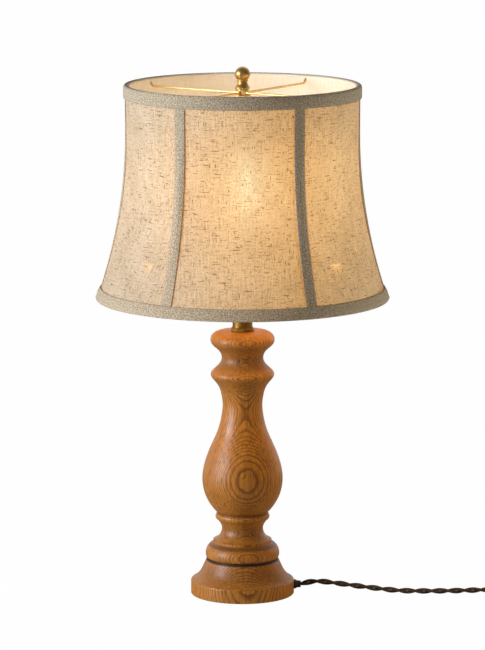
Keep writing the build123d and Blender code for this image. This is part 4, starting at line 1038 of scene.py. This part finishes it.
# -------- make the shade
linen_cloth = linen()
tape_cloth = bias_tape()
panels = [linen_panel(number, linen_cloth) for number in range(PANELS)]
lining = lining_piece(lining_cloth())
top_out = TOP_RADIUS + TAPE_OUT
top_outline = [(top_out + 0.0006, SHADE_TOP - TOP_FOLD_HEIGHT),
               (top_out + 0.0009, SHADE_TOP - TOP_FOLD_HEIGHT + 0.0010),
               (top_out + 0.0010, SHADE_TOP - 0.0085), (top_out + 0.0010, SHADE_TOP - 0.0045),
               (top_out + 0.0009, SHADE_TOP - 0.0018), (top_out + 0.0004, SHADE_TOP - 0.0005),
               (top_out - 0.0003, SHADE_TOP), (TOP_RADIUS - 0.0011, SHADE_TOP)]
fold_out = shade_radius(SHADE_HEIGHT - BOTTOM_FOLD_HEIGHT) + TAPE_OUT
low_out = BOTTOM_RADIUS + TAPE_OUT
bottom_outline = [(fold_out + 0.0006, SHADE_BOTTOM + BOTTOM_FOLD_HEIGHT),
                  (fold_out + 0.0013, SHADE_BOTTOM + BOTTOM_FOLD_HEIGHT - 0.0010),
                  (fold_out * 0.62 + low_out * 0.38 + 0.0015, SHADE_BOTTOM + 0.0095),
                  (fold_out * 0.25 + low_out * 0.75 + 0.0015, SHADE_BOTTOM + 0.0045),
                  (low_out + 0.0014, SHADE_BOTTOM + 0.0016),
                  (low_out + 0.0006, SHADE_BOTTOM + 0.0003),
                  (low_out - 0.0008, SHADE_BOTTOM), (BOTTOM_RADIUS - 0.0025, SHADE_BOTTOM),
                  (BOTTOM_RADIUS - 0.0046, SHADE_BOTTOM + 0.0006),
                  (BOTTOM_RADIUS - 0.0054, SHADE_BOTTOM + 0.0022)]
top_fold = rim_tape("top_rim_tape", top_outline, "top_tape", tape_cloth)
bottom_fold = rim_tape("bottom_rim_tape", bottom_outline, "bottom_tape", tape_cloth)
seam_tapes = [rib_tape(number, tape_cloth) for number in range(PANELS)]

# -------- felt
felt = felt_ring(felt_cloth())

# -------- finishes of the fixed pieces
aged_brass = metal("aged_brass", (0.64, 0.42, 0.14), (0.28, 0.16, 0.05), 0.45, 0.30, 0.44)
# A darker copy of the brass: painted shade for the parts that sit under the lampshade.
shaded_brass = metal("shaded_brass", (0.36, 0.21, 0.05), (0.12, 0.06, 0.013), 0.6, 0.38, 0.54)
bright_brass = metal("plated_brass", (0.88, 0.64, 0.28), (0.52, 0.34, 0.13), 0.3, 0.28, 0.40)
# A brighter copy of the brass: painted light for the hub inside the glowing lampshade.
lit_brass = metal("lit_brass", (0.98, 0.74, 0.33), (0.72, 0.50, 0.20), 0.3, 0.30, 0.42)
bare_brass = metal("stamped_brass", (0.78, 0.57, 0.27), (0.42, 0.28, 0.12), 0.3, 0.22, 0.4)
steel = metal("zinc_steel", (0.60, 0.60, 0.58), (0.34, 0.33, 0.31), 0.4, 0.28, 0.48)
aluminium = metal("cap_aluminium", (0.72, 0.71, 0.68), (0.45, 0.43, 0.40), 0.35, 0.24, 0.42)
finishes = {
    oak("oak_column", (-0.0235, 0.1482, 0.0)): ["turned_column"],
    oak("oak_base", (-0.012, 0.17, 0.0)): ["base_plinth"],
    aged_brass: ["finial"],
    shaded_brass: ["neck_flange", "brass_neck", "socket_cap", "socket_shell", "harp_saddle"],
    lit_brass: ["spider_hub"],
    bright_brass: ["harp", "harp_ferrule_left", "harp_ferrule_right", "harp_stud",
                   "spider_arm_1", "spider_arm_2", "spider_arm_3", "spider_arm_4"],
    bare_brass: ["screw_shell", "centre_contact", "terminal_screws", "plug_blades"],
    steel: ["lamp_pipe", "pipe_washer", "pipe_nut", "cap_set_screw", "switch_shaft"],
    aluminium: ["bulb_cap", "bulb_contact"],
    moulded("pressed_paper", (0.42, 0.31, 0.20), (0.58, 0.45, 0.31), 0.7, 0.9): [
        "insulating_sleeve"],
    moulded("black_plastic", (0.012, 0.010, 0.009), (0.028, 0.023, 0.020), 0.22, 0.36): [
        "switch_block", "switch_knob", "bulb_insulator"],
    moulded("brown_plastic", (0.022, 0.013, 0.009), (0.048, 0.030, 0.021), 0.38, 0.55): [
        "cord_bushing", "plug_body"],
    moulded("wire_insulation", (0.03, 0.026, 0.024), (0.07, 0.06, 0.055), 0.4, 0.6): [
        "lead_wires"],
    moulded("wire_paint", (0.66, 0.64, 0.60), (0.80, 0.78, 0.74), 0.35, 0.5): [
        "shade_top_ring", "shade_bottom_ring", "shade_ribs"],
    bulb_glass_material("bulb_glass"): ["bulb_glass"],
    bulb_glass_material("stem_glass"): ["bulb_stem"],
    filament(): ["bulb_filaments"],
}
for material, names in finishes.items():
    for name in names:
        mesh = nodes[name].data
        mesh.materials.clear()
        mesh.materials.append(material)

# -------- floor and light
FLOOR_HALF = 12.0
FLOOR_SEEN = 0.99
AMBIENT = 0.045
MIRRORED_LEVEL = 0.19


def mirrored_rays(tree, path):
    """1 for rays that come by way of metal or glass."""
    return calc(tree, "MAXIMUM", path.outputs["Is Glossy Ray"],
                path.outputs["Is Transmission Ray"])


def stage_floor():
    """A wide pale floor that looks white to the camera and still takes a faint shadow."""
    corners = [(x * FLOOR_HALF, y * FLOOR_HALF, 0)
               for x, y in ((-1, -1), (1, -1), (1, 1), (-1, 1))]
    mesh = bpy.data.meshes.new("floor")
    mesh.from_pydata(corners, [], [(0, 1, 2, 3)])
    material, tree = material_tree("floor")
    cloud = speckle(tree, object_place(tree), (3.0, 3.0, 3.0), 2.0)
    matte = principled(tree, {
        "Base Color": mixed(tree, cloud, (0.56, 0.56, 0.56), (0.60, 0.60, 0.59)),
        "Roughness": 0.9})
    white = add(tree, "ShaderNodeEmission", None, {"Color": (1, 1, 1, 1), "Strength": 1.0})
    path = add(tree, "ShaderNodeLightPath")
    behind = span(tree, axes(tree, object_place(tree))[1], 0.4, 2.2)
    mirrored = product(tree, mirrored_rays(tree, path), behind)
    seen = product(tree, calc(tree, "MAXIMUM", path.outputs["Is Camera Ray"], mirrored),
                   FLOOR_SEEN)
    mix = add(tree, "ShaderNodeMixShader", None, {0: seen, 1: matte, 2: white.outputs[0]})
    finish_material(tree, mix.outputs[0])
    link("floor", mesh, material)


def surroundings():
    """A world that is white to the camera, dim as a light, and mirrored white from behind."""
    world = bpy.data.worlds.new("studio")
    scene.world = world
    world.use_nodes = True
    tree = world.node_tree
    tree.nodes.clear()
    path = add(tree, "ShaderNodeLightPath")
    way = add(tree, "ShaderNodeTexCoord").outputs["Generated"]
    level = span(tree, axes(tree, way)[1], 0.15, 0.70, MIRRORED_LEVEL, 1.0)
    more = product(tree, mirrored_rays(tree, path), calc(tree, "SUBTRACT", level, AMBIENT))
    strength = calc(tree, "MAXIMUM", path.outputs["Is Camera Ray"], total(tree, AMBIENT, more))
    back = add(tree, "ShaderNodeBackground", None, {"Color": (1, 1, 1, 1),
                                                    "Strength": strength})
    output = add(tree, "ShaderNodeOutputWorld")
    tree.links.new(back.outputs[0], output.inputs["Surface"])


def softbox(name, place, target, size, power, color):
    """A soft rectangular lamp that faces a point."""
    data = bpy.data.lights.new(name, "AREA")
    data.shape = "RECTANGLE"
    data.size, data.size_y = size
    data.energy = power
    data.color = color
    lamp = bpy.data.objects.new(name, data)
    lamp.location = place
    lamp.rotation_euler = (Vector(target) - Vector(place)).to_track_quat("-Z", "Y").to_euler()
    scene.collection.objects.link(lamp)
    return lamp


def lamps():
    """A cool key light from the left, a warm one from the right, and the bulb's own light,
    part of which a soft lamp in the shade throws down on the wood."""
    softbox("key", (-2.47, -0.96, 0.85), (0, 0, 0.30), (1.2, 1.3), 84.0, (0.93, 0.96, 1.02))
    side = softbox("side", (1.9, -0.10, 0.28), (0, 0, 0.14), (0.9, 0.5), 17.0,
                   (1.0, 0.92, 0.80))
    down = softbox("down", (0, 0, SHADE_BOTTOM + 0.055), (0, 0, 0), (0.22, 0.22), 0.26,
                   (1.0, 0.53, 0.13))
    for lamp in (side, down):
        lamp.visible_camera = False
        lamp.visible_glossy = False
    bulb = bpy.data.lights.new("bulb_light", "POINT")
    bulb.energy = 0.42
    bulb.color = (1.0, 0.77, 0.50)
    bulb.shadow_soft_size = 0.016
    lamp = bpy.data.objects.new("bulb_light", bulb)
    lamp.location = BULB_CENTRE
    scene.collection.objects.link(lamp)


stage_floor()
surroundings()
lamps()
